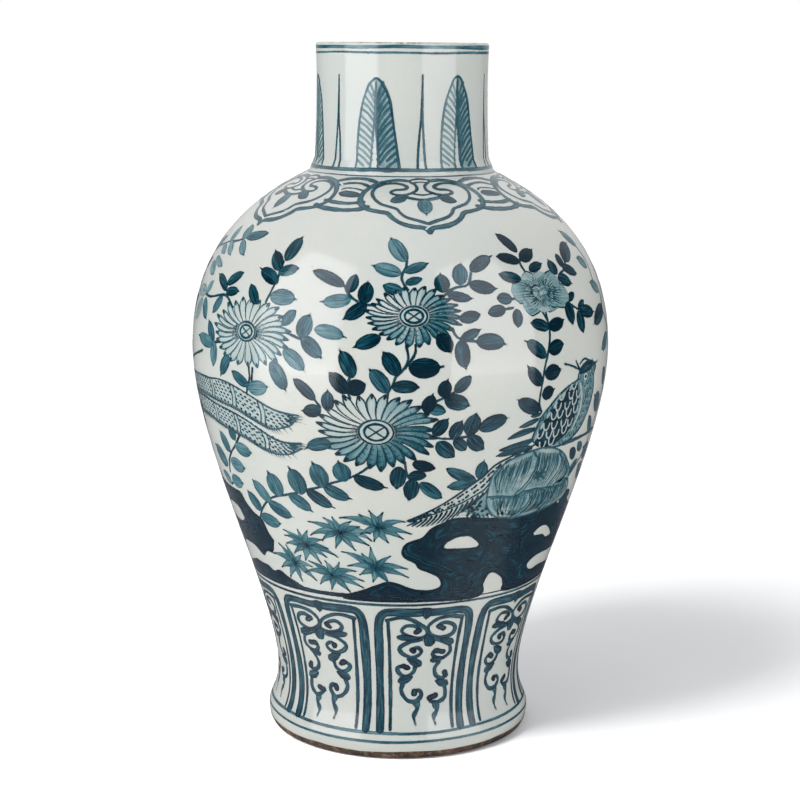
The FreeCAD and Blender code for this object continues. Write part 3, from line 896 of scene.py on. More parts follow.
def chrysanthemum(painting, centre, across, up, petals, tone, edge, washed=False):
    """Petals round a centre, drawn in dark lines, heaviest at the tips. across and up are the half sizes in
    millimetres. When it is washed, the petals on the right are darker and crossed by short strokes."""
    start = chance.uniform(0, 6)
    step = 2 * math.pi / petals
    for number in range(petals):
        turn = start + (number + chance.uniform(-0.1, 0.1)) * step
        aim = oval(turn, across, up)
        breadth = step * 0.82 * across * up / np.hypot(*aim)
        aim *= chance.uniform(0.92, 1.05)
        bow = aside_of(aim) * 0.05
        path = smooth(painting.around(centre, [aim * 0.2, aim * 0.6 + bow, aim]), steps=5)
        shaded = 1 + (0.9 if washed else 0.3) * math.cos(turn + 0.7)
        inner = np.vstack([path[:-1], path[-2] * 0.5 + path[-1] * 0.5])
        painting.ribbon(path, breadth, edge, 1, petal_width)
        wash = tone * shaded * chance.uniform(0.7, 1.3)
        painting.ribbon(inner, breadth - 1.9, wash, 2, petal_width, lambda share, across: 0.45 + 0.9 * share)
        painting.ribbon(path[-3:], 1.9, edge * 1.3, 3, drop_width)
        if washed and math.cos(turn + 0.7) > 0.1:
            for share in (0.46, 0.6, 0.74, 0.88):
                middle = aim * share + bow * 0.6
                reach = aside_of(aim) / np.hypot(*aim) * (breadth - 1.4) * 0.5 * min(share + 0.1, 0.85)
                cross = painting.around(centre, [middle - reach, middle + aim * 0.02, middle + reach])
                painting.ribbon(cross, 1.1, wash + 0.2, 3, blade_width)


def eye(painting, centre, across, up, strength=1.0):
    """The crossed eye of a chrysanthemum."""
    ring = oval(np.linspace(0, 2 * math.pi, 25), across, up)
    for size, width, tone in ((1.0, 1.4, 0.7), (0.68, 1.7, 0.8)):
        painting.ribbon(painting.around(centre, ring * size), width, tone * strength, 5)
    for lean in (0.75, 2.4):
        aim = oval(lean, across, up) * 0.62
        painting.ribbon(painting.around(centre, [-aim, aim * 0.1, aim]), 1.2, 0.66 * strength, 6)


def flower_ground(painting, centre, across, up, tone, layer):
    """A round wash that hides what lies under a flower's middle."""
    ring = painting.around(centre, oval(np.linspace(0, 2 * math.pi, 16, endpoint=False), across, up))
    heights = np.interp(ring[:, 1], ALONG, OUTLINE[:, 1])
    degrees = (np.degrees(ring[:, 0]) - painting.offset) * painting.side
    painting.region(list(zip(degrees, heights)), [], tone, layer)


def peony(painting, centre, across, up, counts, tone, edge):
    """A full round flower: a wash, then rings of broad petals with fine curved lines."""
    flower_ground(painting, centre, across * 0.7, up * 0.7, tone, 1)
    for ring, count in enumerate(counts):
        size = 1 - 0.34 * ring
        start = chance.uniform(0, 6)
        for number in range(count):
            turn = start + (number + chance.uniform(-0.2, 0.2)) * 2 * math.pi / count
            aim = oval(turn, across, up) * size * chance.uniform(0.86, 1.06)
            bow = aside_of(aim) * chance.uniform(-0.2, 0.2)
            breadth = math.pi * (across + up) / count * size
            path = bend((0, 0), aim * 0.6 + bow, aim, count=8)
            path = painting.around(centre, path)
            painting.ribbon(path, breadth + 1.6, edge, 1 + ring, drop_width)
            painting.ribbon(path, breadth, tone * chance.uniform(0.5, 1.2), 2 + ring, drop_width)
            for aside in np.linspace(-0.4, 0.4, 7):
                shift = aside_of(aim) / np.hypot(*aim) * breadth * aside
                end = aim * chance.uniform(0.8, 0.92) + shift
                vein = bend(aim * 0.35 + shift * 0.6, aim * 0.6 + bow + shift, end, count=6)
                painting.ribbon(painting.around(centre, vein), 0.8, edge * 0.7, 3 + ring, blade_width)


HEART_OUTLINE = [
    (26.2, 186), (27.2, 194), (31, 200.5), (35.5, 203.8), (40, 205.8), (44, 206), (49, 203.6), (54, 198.5),
    (57.6, 192), (60.6, 186), (62, 179), (64.4, 171.6), (62.6, 166), (57.4, 163.8), (50, 162.4),
    (41.5, 161), (36, 161.8), (31, 163.6), (28, 168), (26.2, 175),
]
HEART_MIDDLE = (44.6, 188.6)
# Each lobe has its rim, the first and the last of its hatching lines, and how densely they lie
HEART_LOBES = (
    (
        [(40, 205), (42, 197), (40.4, 188), (38, 181), (36, 177.6)],
        [(28.4, 197), (27.2, 189), (28.4, 180)], [(39.8, 203), (39.2, 191), (36.4, 179)], 9,
    ),
    (
        [(51.5, 202), (53.4, 193), (52.6, 185), (49.4, 178.4)],
        [(41.6, 204), (41.6, 193), (39.6, 181)], [(51, 200), (52, 190), (48.4, 179.4)], 9,
    ),
    (
        [(60.8, 178.6), (56, 176.2), (50, 177.4), (42, 178.4), (35, 176.6), (26.8, 178.6)],
        [(53.6, 199), (54.6, 189), (53, 180)], [(59.6, 187), (60, 182), (57.4, 177.8)], 6,
    ),
    (
        [(42.4, 178), (42.2, 171), (40, 165.6), (36.4, 162)],
        [(27.8, 176.6), (28.6, 171), (31, 165)], [(41, 176.8), (40, 169), (37, 163)], 10,
    ),
    (
        [(53, 177.4), (53.4, 171), (51, 165.4), (47.4, 162.2)],
        [(43, 177), (42.6, 169), (39.4, 162.8)], [(51.8, 176.6), (51.6, 169.6), (48.4, 163)], 8,
    ),
    (
        [(62, 178), (58, 180), (53, 178)], [(54.2, 176), (53.8, 169), (51.4, 164)],
        [(61.8, 176), (62.6, 170.6), (59.4, 165.4)], 6,
    ),
)


def feathery_flower(painting):
    """The great loose flower over the rock: a pale wash in six lobes, each hatched with curved lines."""
    painting.region(HEART_OUTLINE, [], 0.2, 5, lambda x, y: 1 + 0.35 * np.sin(x * 0.2 + 1) * np.sin(y * 0.17))
    painting.line(HEART_OUTLINE + HEART_OUTLINE[:1], 0.9, 0.5, 6)
    for rim, first, last, count in HEART_LOBES:
        ruffled = smooth(rim, steps=3)
        ruffled = ruffled + chance.uniform(-0.45, 0.45, ruffled.shape)
        painting.line(ruffled, 1.2, 0.52, 6)
        painting.line(ruffled + (0.9, -1.3), 0.8, 0.4, 6)
        for share in np.linspace(0.02, 0.98, int(count * 3)):
            near, far = np.array(first) * (1 - share), np.array(last) * share
            hair = near + far + chance.uniform(-0.5, 0.5, (3, 2))
            tone, width = chance.uniform(0.28, 0.66), chance.uniform(0.6, 1.5)
            painting.line(hair, width, tone, 7, blade_width)
    for turn in np.linspace(0, 5.4, 7):
        dab = oval(turn, 5, 4.4)
        path = bend(dab * 0.25, dab * 0.7 + dab[::-1] * 0.2, dab, count=6)
        painting.ribbon(painting.around(HEART_MIDDLE, path), 1.8, 0.5, 8)


flowers = Painting()
# The left chrysanthemum's petals are pale in their own right; its lines and eye are drawn fainter as painted
# reflection of the gleam over the glaze there
chrysanthemum(flowers, (-43.6, 277), 35.5, 21.5, 26, 0.05, 0.42)
flower_ground(flowers, (-44, 277.4), 8.8, 6.6, 0.04, 4)
eye(flowers, (-44, 277.4), 7.8, 5.8, 0.72)
chrysanthemum(flowers, (3.4, 292.2), 29.5, 18, 27, 0.18, 0.7, True)
flower_ground(flowers, (3.4, 292.2), 9.2, 6.8, 0.05, 4)
eye(flowers, (3.4, 292.2), 8.0, 5.8)
chrysanthemum(flowers, (-6.0, 223), 37, 25, 28, 0.22, 0.74, True)
flower_ground(flowers, (-6.1, 222.8), 11.4, 8.6, 0.06, 4)
eye(flowers, (-6.1, 222.8), 10.5, 7.8)
peony(flowers, (42.0, 302), 24.5, 12.5, (8, 6, 4), 0.24, 0.8)
feathery_flower(flowers)
flowers.finish("front_flowers")

# The birds: a pheasant that sits above the rock with its tail down to the left, and the two long tail
# feathers of another, whose body is round the left side.

BIRD_OUTLINE = [
    (38, 212), (38.6, 218), (40, 226), (42.4, 232), (46, 239), (50, 243.6), (53.6, 246), (54.2, 250),
    (56, 254.6), (59.5, 256.4), (62.6, 254.4), (64.4, 251), (63.4, 246), (64.3, 238), (64, 228), (62, 218),
    (59, 211), (52, 205.4), (44, 205),
]
WING_OUTLINE = [
    (39.4, 209.5), (40, 217), (42, 226), (45, 234), (49, 240.5), (53, 244), (54.6, 240), (55.6, 232),
    (55.4, 222), (53, 213), (48, 207.6), (43, 206.4),
]
CROWN_OUTLINE = [(54.6, 249.4), (56, 253.8), (59.4, 256), (62.2, 254), (61.4, 250.6), (58, 249.6)]
CREST = [(62.6, 253.2), (64.6, 253.6), (66.8, 254.6)]
# The two halves of the open beak, and a curl over the crown
HEAD_LINES = (
    [(47.5, 258), (51, 255.6), (54.6, 252)],
    [(52.5, 258.6), (53.6, 255), (55, 252)],
    [(54.5, 256), (57, 258.4), (60, 256)],
)
PERCH = [(52, 205.4), (60, 206), (68, 206.2), (75, 206.5)]
WING_EDGE = [(55.4, 243), (57.2, 234), (57.2, 224), (55, 214)]
WING_SPOTS = ((39.4, 214), (40.6, 220.6), (42.4, 227), (44.6, 232.8), (47.4, 238), (50.6, 241.8))
TAIL_ROOT = [(18, 172), (22, 177), (26, 182), (28, 176), (28, 166), (24, 166)]
BACK_FEATHERS = (
    (40, 229, 36, 228.2, 3.2), (39.5, 226, 32.5, 222, 4), (39, 219.5, 29, 214.5, 4.6),
    (39, 213, 26.5, 208.5, 5), (38.6, 208, 25.8, 204.4, 5),
)
TAIL_TOP = [
    (40, 209.5), (36, 206.6), (31, 203), (27, 199), (24, 193), (20, 186.6), (15, 179), (10, 172.6),
    (5, 167.4), (2.4, 165),
]
TAIL_MIDDLE = [
    (39, 204.6), (34, 202), (30, 197), (27, 190), (25, 184), (22, 180), (17, 174.6), (12, 170.6), (7, 167),
    (3, 164.4),
]
TAIL_FOOT = [
    (3, 163.8), (6, 160.6), (10, 161.6), (15, 165), (20, 167), (24, 165.4), (29, 163.4), (31, 166),
    (31, 186), (36, 202),
]


def scales(painting, outline, spacing_x, spacing_z, size, tone, width, layer):
    """Rows of small crescents, staggered, wherever they fall inside the outline."""
    loop = np.array(outline, float)
    low, high = loop.min(0), loop.max(0)
    crescent = np.array([(-1, 0.9), (-0.7, -0.3), (0, -0.8), (0.7, -0.3), (1, 0.9)]) * size
    for row, z in enumerate(np.arange(low[1] + 2, high[1], spacing_z)):
        for x in np.arange(low[0] + (row % 2) * spacing_x / 2, high[0], spacing_x):
            if within([loop], x, z):
                place = (x, z) + chance.uniform(-0.2, 0.2, 2) * (spacing_x, spacing_z)
                painting.ribbon(smooth(painting.around(place, crescent)), width, tone, layer)


def pheasant_tail(painting):
    """The tail: a spotted upper half, a fringe of barbs under it, and a dark dotted root."""
    painting.region(TAIL_TOP + TAIL_FOOT, [], 0.05, 1)
    painting.region(TAIL_ROOT, [], 0.3, 2)
    painting.line(TAIL_TOP, 1.2, 0.85, 3)
    painting.line(TAIL_MIDDLE, 0.9, 0.75, 3)
    upper, lower = smooth(TAIL_TOP), smooth(TAIL_MIDDLE)
    for share in np.linspace(0.02, 0.96, 40):
        over, under = (loop[int(share * (len(loop) - 1))] for loop in (upper, lower))
        for row in (0.3, 0.7):
            place = over + (under - over) * row + chance.uniform(-0.25, 0.25, 2)
            painting.leaf(place, place - (0.9, 1.3), chance.uniform(0.7, 1.0), 1.8, 3, drop_width)
    for x in np.arange(4.4, 25.5, 1.5):
        head = np.interp(x, lower[::-1, 0], lower[::-1, 1])
        drop = np.interp(x, [4, 8, 14, 20, 26], [3.4, 7, 9.5, 10, 8])
        barb = [(x + 0.8, head - 0.6), (x - 0.2, head - drop * 0.5), (x - 2.2, head - drop)]
        painting.line(barb, 1.1, chance.uniform(0.8, 1.05), 4, lambda share: 1.2 - 0.5 * share)
    for _ in range(34):
        x, z = chance.uniform(21, 28.4), chance.uniform(165.4, 178)
        painting.leaf((x, z), (x - 0.9, z - 1.3), 0.95, 2.0, 4, drop_width)
    for x in np.arange(20.5, 30, 1.3):
        painting.line([(x, 167), (x + 0.6, 165), (x + 1.6, 163)], 1.1, 0.85, 4, blade_width)


def pheasant_body(painting):
    """The bird without its tail: scaly breast, dark wing, a pale ring round the eye, and its perch."""
    for x, z, tip_x, tip_z, width in BACK_FEATHERS:
        painting.leaf((x, z), (tip_x, tip_z), 0.8, width, 2)
    painting.region(BIRD_OUTLINE, [], 0.30, 3)
    painting.line(BIRD_OUTLINE, 1.1, 0.66, 5)
    scales(painting, BIRD_OUTLINE, 2.0, 4.4, 1.5, 0.62, 1.0, 4)
    painting.region(WING_OUTLINE, [], 1.15, 4)
    scales(painting, WING_OUTLINE, 3.4, 5.8, 2.7, 0.06, 1.35, 5)
    for x, z in WING_SPOTS:
        painting.leaf((x - 0.3, z - 2.2), (x + 0.9, z + 2.6), 0.12, 2.6, 5, drop_width)
    painting.line(WING_EDGE, 2.3, 0.08, 5)
    painting.region(CROWN_OUTLINE, [], 0.88, 5)
    ring = oval(np.linspace(0, 2 * math.pi, 17), 2.1, 1.8)
    painting.ribbon(painting.around((58, 246.8), ring), 1.5, 0.03, 6)
    painting.leaf((57.4, 246.8), (58.8, 246.8), 0.95, 2.2, 6, drop_width)
    painting.line(CREST, 1.7, 0.7, 5, lambda share: 1.1 - 0.7 * share)
    for path in HEAD_LINES:
        painting.line(path, 1.2, 0.7, 5)
    painting.line(PERCH, 2.4, 0.66, 3)


FEATHERS = (
    (
        [
            (-98, 236), (-84, 240), (-70, 242.4), (-62, 243), (-56, 244.2), (-50, 243), (-44, 239.6),
            (-38, 234.4), (-34, 231.6), (-30, 230.4), (-27, 230),
        ],
        [
            (-28, 226.6), (-30.5, 222.4), (-36, 219.2), (-40, 221.2), (-44, 224.2), (-50, 228),
            (-60, 230.2), (-70, 231), (-84, 229), (-98, 226),
        ],
    ),
    (
        [
            (-98, 224), (-84, 227), (-70, 229), (-60, 227.4), (-52, 225.4), (-46, 222.4), (-40, 217),
            (-36, 213.2), (-32, 211.6), (-27, 212.4),
        ],
        [
            (-27, 209), (-31, 204.6), (-36, 203.2), (-41, 205.2), (-46, 209), (-52, 212), (-60, 214.6),
            (-68, 217), (-84, 216), (-98, 213),
        ],
    ),
)

birds = Painting()
pheasant_tail(birds)
pheasant_body(birds)
for top, foot in FEATHERS:
    birds.region(top + foot, [], 0.08, 2)
    birds.line(top, 1.0, 0.62, 4)
    birds.line(foot, 0.9, 0.5, 4)
    upper, lower = smooth(top), smooth(foot)[::-1]
    for number, x in enumerate(np.arange(-94, -29.5, 1.8)):
        above = np.interp(x, upper[:, 0], upper[:, 1])
        below = np.interp(x, lower[:, 0], lower[:, 1])
        depth = above - below
        if number % 6 == 0:
            for start, width, tone in ((x, 1.0, 0.55), (x + 1.5, 0.9, 0.5)):
                bar = [(start, above - 0.8), (start + 0.8, below + depth * 0.5), (start + 0.5, below + 1)]
                birds.line(bar, width, tone, 4)
        else:
            for row, share in enumerate((0.14, 0.29, 0.44, 0.59, 0.74, 0.88)):
                shift = 0.9 * (row % 2) + chance.uniform(-0.2, 0.2)
                place = np.array([x + share + shift - 0.4, below + depth * share + 0.6])
                birds.leaf(place, place + (1.1, -0.7), chance.uniform(0.45, 0.95), 1.5, 3, drop_width)
        for shift in (0.0, 0.9) if x < -36 else (0.0,):
            start, reach = x + shift, 2.2
            edge = np.interp(start, lower[:, 0], lower[:, 1])
            barb = [(start, edge + 2), (start + reach * 0.5, edge - 0.6), (start + reach, edge - 3.4)]
            birds.line(barb, 1.0, chance.uniform(0.5, 0.8), 3, blade_width)
    for share in np.linspace(0, 1, 5):
        tip = np.interp(share, [0, 1], [foot[0][1] - 1, top[-1][1] - 0.5])
        start = (chance.uniform(-32, -29.5), tip - 0.3)
        end = (chance.uniform(-26, -24), tip + chance.uniform(-1.6, 1.0))
        birds.line([start, (-27.4, tip + 0.4), end], 1.0, chance.uniform(0.5, 0.75), 4, blade_width)
birds.finish("birds")

# The ground: two pierced rocks in the darkest cobalt, with a low strip of ground between them. The cobalt is
# brushed on thickly, so that broad strokes show in it, and is left out where the holes are.

RIGHT_ROCK = [
    (-20, 110.6), (-13, 115), (-8, 119), (-4, 121.7), (-1, 121), (3, 118), (7, 116), (11.5, 115.7),
    (14.5, 117.5), (15.2, 121), (13.5, 126), (10, 129.5), (7, 132), (5.5, 136), (2.2, 139.5), (1.2, 143),
    (2, 148), (4, 150.5), (7.5, 153), (10, 159), (13, 162), (17, 165), (24, 164), (31, 162), (38, 160),
    (46, 161.5), (53, 164), (57, 165), (61, 161), (61.5, 166), (64, 168.5), (67, 168), (69.5, 165),
    (68.5, 161.5), (73, 157), (78, 154), (84, 151), (92, 153), (98, 149), (103, 142), (101, 132),
    (104, 124), (100, 115), (96, 109.6), (84, 108.6), (64, 108.6), (43.5, 108.6), (41.5, 114), (40, 119),
    (37, 123), (34.5, 124.8), (32.5, 123), (31.3, 117), (30.4, 108.6), (10, 108.6), (-18, 108.8),
]
RIGHT_HOLES = (
    [
        (14, 146.6), (15, 149.5), (18, 152.5), (20, 153.3), (22.5, 153), (25, 150), (26.5, 147),
        (26.3, 144.3), (24, 143.5), (20, 144), (15, 144.6),
    ],
    [
        (49.6, 145.5), (52, 149), (55.5, 150), (59, 147.5), (62, 143.5), (64, 140), (62, 138.7),
        (59.5, 139), (56.5, 142), (53, 142.8), (51, 143.5),
    ],
    [
        (82, 126), (75, 127), (68, 127.5), (60, 128.5), (55, 127), (52.3, 123.5), (53.5, 119.5),
        (57, 117.5), (62, 118.5), (68, 117.5), (75, 116), (82, 115), (86, 119),
    ],
)
LEFT_ROCK = [
    (-46.7, 141), (-48.5, 146), (-49.8, 154), (-51.5, 155.4), (-54, 157.5), (-57, 163), (-58.5, 168.5),
    (-62, 169), (-70, 170), (-80, 174), (-90, 171), (-98, 175), (-108, 168), (-116, 160), (-121, 150),
    (-118, 140), (-122, 130), (-118, 118), (-112, 109), (-96, 108.6), (-84, 112), (-76, 124), (-72, 131),
    (-66, 132.5), (-61, 132), (-57.5, 128.5), (-55.5, 127.5), (-54, 130), (-52, 132), (-49, 132.5),
]
LEFT_HOLES = (
    [(-62, 149), (-64, 156), (-69, 158.4), (-75, 157), (-80, 153), (-78, 148), (-72, 146), (-66, 145.6)],
    [(-98, 132), (-100, 140), (-105, 143), (-110, 138), (-108, 131), (-102, 128)],
)
LEFT_GROUND = [
    (-76, 109), (-74, 116), (-70, 118), (-64, 121), (-60, 120.5), (-55, 120.5), (-52, 118), (-48, 120),
    (-44, 117), (-40, 114.5), (-36, 112), (-30, 111.4), (-20, 111), (-20, 109.4), (-36, 109), (-56, 108.8),
]


def brushed(x, y):
    """Broad strokes that lie slantwise over each other."""
    slant = np.sin(x * 0.16 + 2.2 * np.sin(y * 0.11)) + np.sin((x + y) * 0.31 + 1.6 * np.sin(x * 0.07))
    return 1 + 0.07 * slant


def rock(painting, outline, holes):
    """A rock with a darker edge and broad strokes that stay clear of its edge and holes."""
    painting.region(outline, list(holes), 1.22, 1, brushed)
    painting.line(outline + outline[:1], 1.6, 1.35, 2)
    for hole in holes:
        painting.line(list(hole) + list(hole[:1]), 1.3, 0.92, 2)
    low, high = np.min(outline, 0), np.max(outline, 0)
    loops = [np.array(loop, float) for loop in (outline, *holes)]
    for _ in range(int((high[0] - low[0]) * 1.6)):
        x, z = chance.uniform(low[0], high[0]), chance.uniform(low[1], high[1])
        reach = chance.uniform(3, 6) * chance.choice([-1, 1])
        ends = [(x, z), (x + reach * 0.5, z + chance.uniform(-3, 4)), (x + reach, z + chance.uniform(-7, 7))]
        corners = np.vstack(loops)
        nearest = [np.hypot((corners[:, 0] - px) * 1.8, corners[:, 1] - pz).min() for px, pz in ends]
        if min(nearest) > 3.4 and within(loops, *np.transpose(ends)).all():
            painting.line(ends, chance.uniform(3, 5), chance.choice([1.0, 1.4]), 2, blade_width)


ground = Painting()
rock(ground, RIGHT_ROCK, RIGHT_HOLES)
rock(ground, LEFT_ROCK, LEFT_HOLES)
ground.region(LEFT_GROUND, [], 1.1, 1, brushed)
ground.line([(-36, 111), (-26, 110.8), (-18, 111.4)], 2.2, 0.85, 2)

# Six tufts of grass in front of the rocks: pointed blades that spread from a middle, each one stroke that
# starts dark, fades, and ends in a dark touch. A tuft is its middle and the places of its tips.

TUFTS = (
    (
        (-18.5, 155),
        (
            (-29, 160), (-29, 150.5), (-25, 148), (-23.5, 164), (-20.5, 165.5), (-14.5, 163.5),
            (-20.7, 144), (-14, 143.5), (-9.5, 147.5), (-8.7, 150.5), (-9, 155.5), (-12, 160),
        ),
    ),
    (
        (-6.5, 160),
        (
            (-18, 165), (-12, 168.5), (-9, 171.5), (-4.7, 170.5), (1.7, 164), (3.7, 156), (1.3, 152.5),
            (-3.3, 150), (-7.8, 150.5), (-12, 155),
        ),
    ),
    (
        (-31.5, 143),
        (
            (-39.8, 151), (-40, 141.5), (-37.5, 135.5), (-33.7, 153.5), (-30, 153.5), (-25, 148.3),
            (-23.5, 142.8), (-20.5, 137.5), (-24.5, 136.5), (-27, 131.5), (-33.3, 132), (-40, 147),
        ),
    ),
    (
        (-38, 128),
        (
            (-44, 140), (-40.5, 140.5), (-49, 131), (-46, 122.5), (-42.5, 117), (-37, 116), (-34.8, 135),
            (-31, 128), (-30.5, 118.5),
        ),
    ),
    (
        (-23.5, 124),
        (
            (-32, 132), (-34.5, 123), (-29, 116.5), (-25.5, 134), (-20.3, 134), (-14.7, 128.5),
            (-12.3, 122), (-12.5, 117.3), (-17.5, 113.5), (-24.7, 114),
        ),
    ),
    (
        (-8, 132),
        (
            (-18.7, 141.5), (-17.3, 132), (-13.5, 126.5), (-9, 146.5), (-12, 141.5), (-2.7, 140.5),
            (2.7, 131.5), (3.2, 125.5), (-3.3, 121.5), (-9, 122),
        ),
    ),
)


def fading(share, across):
    """The tone's share along a blade, which is darkest at its foot."""
    return 1.35 - 0.7 * share


def tuft(painting, centre, tips):
    """Blades that rise from a middle and droop, with a dark touch at each tip."""
    for number, tip in enumerate(tips):
        first, last = painting.at([centre, tip])
        last = last + (last - first) * 0.04
        reach = abs(last[0] - first[0]) * radius_of(first[1])
        middle = (first + last) / 2 + (chance.uniform(-0.02, 0.02), chance.uniform(0.1, 0.3) * reach)
        path = bend(first, middle, last, count=14)
        tone, width = chance.uniform(0.36, 0.5), chance.uniform(5.0, 6.2)
        painting.ribbon(path, width, tone, 3 + number % 3, grass_width, fading)
        painting.ribbon(path[-4:], 1.3, 0.8, 6, drop_width)
        painting.ribbon(path[:7], 0.9, 0.66, 6, blade_width)


for centre, tips in TUFTS:
    tuft(ground, centre, tips)
ground.finish("ground_and_grass")

# The side the photograph doesn't show: the other bird's body, and the same branches, flowers and grass turned
# round to the back and mirrored, with a chrysanthemum where the front has its pheasant.

BACK_TURN, BIRD_TURN = 180.0, -63.0
# The grass is there twice: all tufts mirrored, and four of them as they are
TUFTS_TURN, FEWER_TURN, ROCK_TURN = 176.0, 150.0, 190.0
SPRIG_PLACES = (
    (92, 300, 1.0), (90, 232, 0.9), (96, 190, 0.8), (-90, 292, 1.0),
    (-92, 268, 0.6), (-86, 196, 0.7), (150, 250, 1.0), (108, 268, 0.8),
)
FAR_FLOWERS = (
    ((-43.8, 277), 33, 20.5, 26, 0.1, 0.6, False),
    ((3.4, 292.2), 29.5, 18, 27, 0.14, 0.7, True),
    ((-6.2, 223), 34.5, 24, 28, 0.16, 0.8, True),
    ((52, 228), 32, 24, 27, 0.12, 0.7, False),
)
BACK_ROCK = [
    (-32, 109), (-30, 118), (-24, 124), (-18, 121), (-12, 128), (-4, 132), (4, 128), (9, 120), (18, 122),
    (24, 116), (30, 109),
]
BACK_GROUND = (
    [(95, 111), (120, 110.6), (150, 111.2), (170, 110.6)],
    [(214, 110.8), (230, 111.2), (246, 110.8)],
)
BACK_HOLE = [(-8, 116), (-6, 121), (0, 123), (4, 119), (0, 115)]
SPRIG_LEAVES = (
    (0, 0, -6, 9, MID_DARK, 8), (1, 4, 8, 12, DARK, 8), (3, 12, -4, 22, MID, 9), (4, 16, 11, 22, DARK, 7),
    (5, 26, 0, 38, DARK, 8), (6, 27, 13, 36, MID_DARK, 9), (-1, -6, -9, -4, MID, 8),
    (0, -8, 7, -12, DARK, 8), (-1, -14, -6, -26, MID_DARK, 9),
)
SPRIG_STEM = [(-2, -20), (-1, -8), (0.4, 2), (2.4, 12), (5.4, 27)]


def sprig(painting, x, z, size):
    """A short branch with leaves on both sides, for the places between the flowers."""
    painting.line([(x + a, z + b * size) for a, b in SPRIG_STEM], STEM_WIDTH, STEM_TONE, 1)
    for a, b, tip_a, tip_b, tone, width in SPRIG_LEAVES:
        base, tip = (x + a, z + b * size), (x + tip_a, z + tip_b * size)
        painting.leaf(base, tip, tone + chance.uniform(-0.06, 0.06), width, 2)


far_side = Painting()
far_side.offset, far_side.side = BACK_TURN, -1
# The leaves and the twig that would lie under the second bird are left out
clear_leaves = [leaf for leaf in FRONT_LEAVES if abs(leaf[0] + 66) > 22 or not 200 <= leaf[1] <= 262]
spray(far_side, clear_leaves, [path for path in FRONT_STEMS if path[0][0] > -85])
far_side.offset, far_side.side = 0, 1
for x, z, size in SPRIG_PLACES:
    sprig(far_side, x, z, size)
far_side.finish("far_side_sprays")

far_flowers = Painting()
far_flowers.offset, far_flowers.side = BACK_TURN, -1
for flower in FAR_FLOWERS:
    chrysanthemum(far_flowers, *flower)
    flower_ground(far_flowers, flower[0], 9.2, 7.0, 0.05, 4)
    eye(far_flowers, flower[0], 8.2, 6.2)
peony(far_flowers, (42.4, 302), 22, 11.5, (8, 6, 4), 0.26, 0.7)
far_flowers.offset = BIRD_TURN
pheasant_body(far_flowers)
far_flowers.finish("far_side_flowers_and_bird")

far_ground = Painting()
for far_ground.offset, far_ground.side, tufts in ((TUFTS_TURN, -1, TUFTS), (FEWER_TURN, 1, TUFTS[:4])):
    for centre, tips in tufts:
        tuft(far_ground, centre, tips)
far_ground.offset = ROCK_TURN
rock(far_ground, BACK_ROCK, [BACK_HOLE])
far_ground.offset = 0
for path in BACK_GROUND:
    far_ground.line(path, 2.4, 0.85, 1)
far_ground.finish("far_side_ground")

# The lower band: eight upright lappets between pairs of lines. Each has a heavy border, a thin line inside
# it, and two scrolling tendrils with small leaves that hang from curls at its top.

LAPPET_TURNS = (-75.2, -32.3, 10.6, 53.0, 99.4, 145.7, 192.1, 238.4)
LAPPET_FOOT, LAPPET_TOP = 17.5, 101.0
BAND_LINES = ((109.3, 1.2, 0.7), (105.9, 2.0, 0.7), (17.2, 2.0, 0.5), (12.0, 1.7, 0.5))
BORDER_TONE, INNER_TONE, SCROLL_TONE, CURL_TONE = 0.73, 0.66, 0.64, 0.95
SCROLLS = (
    [
        (-15, 95), (-10, 96.5), (-5.5, 95), (-1.5, 91), (0.8, 87.5), (0.8, 83.5), (-3, 82), (-7.5, 84),
        (-9.4, 87.5), (-7.5, 91), (-4, 90.5), (-2.2, 87.5), (-3.6, 86),
    ],
    [
        (15, 95), (10, 96.2), (5, 95), (1.8, 91.5), (1, 87.5), (2.6, 84), (6.5, 81.5), (11, 83), (12.6, 87),
        (11, 90.8), (7.5, 92), (5, 89.8), (7.2, 88),
    ],
    [
        (-1.5, 80.5), (-6.5, 79), (-9.8, 75), (-9, 71), (-5.5, 68.3), (-2, 69), (-0.8, 72), (-2.8, 75),
        (-5, 73.8), (-4.2, 72.4),
    ],
    [(-3, 63.5), (-4, 57.5), (-7.4, 54.8), (-10.3, 57), (-10.9, 60.3), (-8.4, 62.2), (-6.6, 60.2)],
    [(-8.2, 50), (-9, 44), (-6.4, 38), (-2.5, 37), (0, 41), (-1.2, 44.3), (-3.4, 44), (-3.2, 42.4)],
    [
        (2.8, 82), (7.6, 79), (10.8, 76), (11.6, 71), (9.8, 67.5), (6.6, 66), (4.2, 69), (5.2, 72.4),
        (8.2, 71.2),
    ],
    [(7, 64), (5.6, 59), (6.2, 54.5), (9, 52), (10.9, 53.6), (10, 56)],
    [(9.6, 49.5), (11, 43.5), (10.6, 38.5), (7.6, 35.6), (4.8, 36.4), (3.8, 39.2), (6.2, 40.6)],
)
SCROLL_LEAVES = (
    ((0.8, 84.5), (3, 75.5), 6.0), ((-1.5, 81.6), (-11.5, 83), 3.6), ((7, 80.8), (12.8, 76.6), 4.6),
    ((-6.8, 67), (-0.6, 61.6), 4.8), ((9.6, 66.2), (3, 64.8), 3.4), ((-4.2, 54.2), (-10.8, 50.8), 4.6),
    ((6.2, 50.6), (12.4, 47), 4.6),
)
# Two wavy flames hang below the tendrils, each given by its top and its length
FLAMES = ((-2.6, 37.5, 17), (6.4, 35, 15))

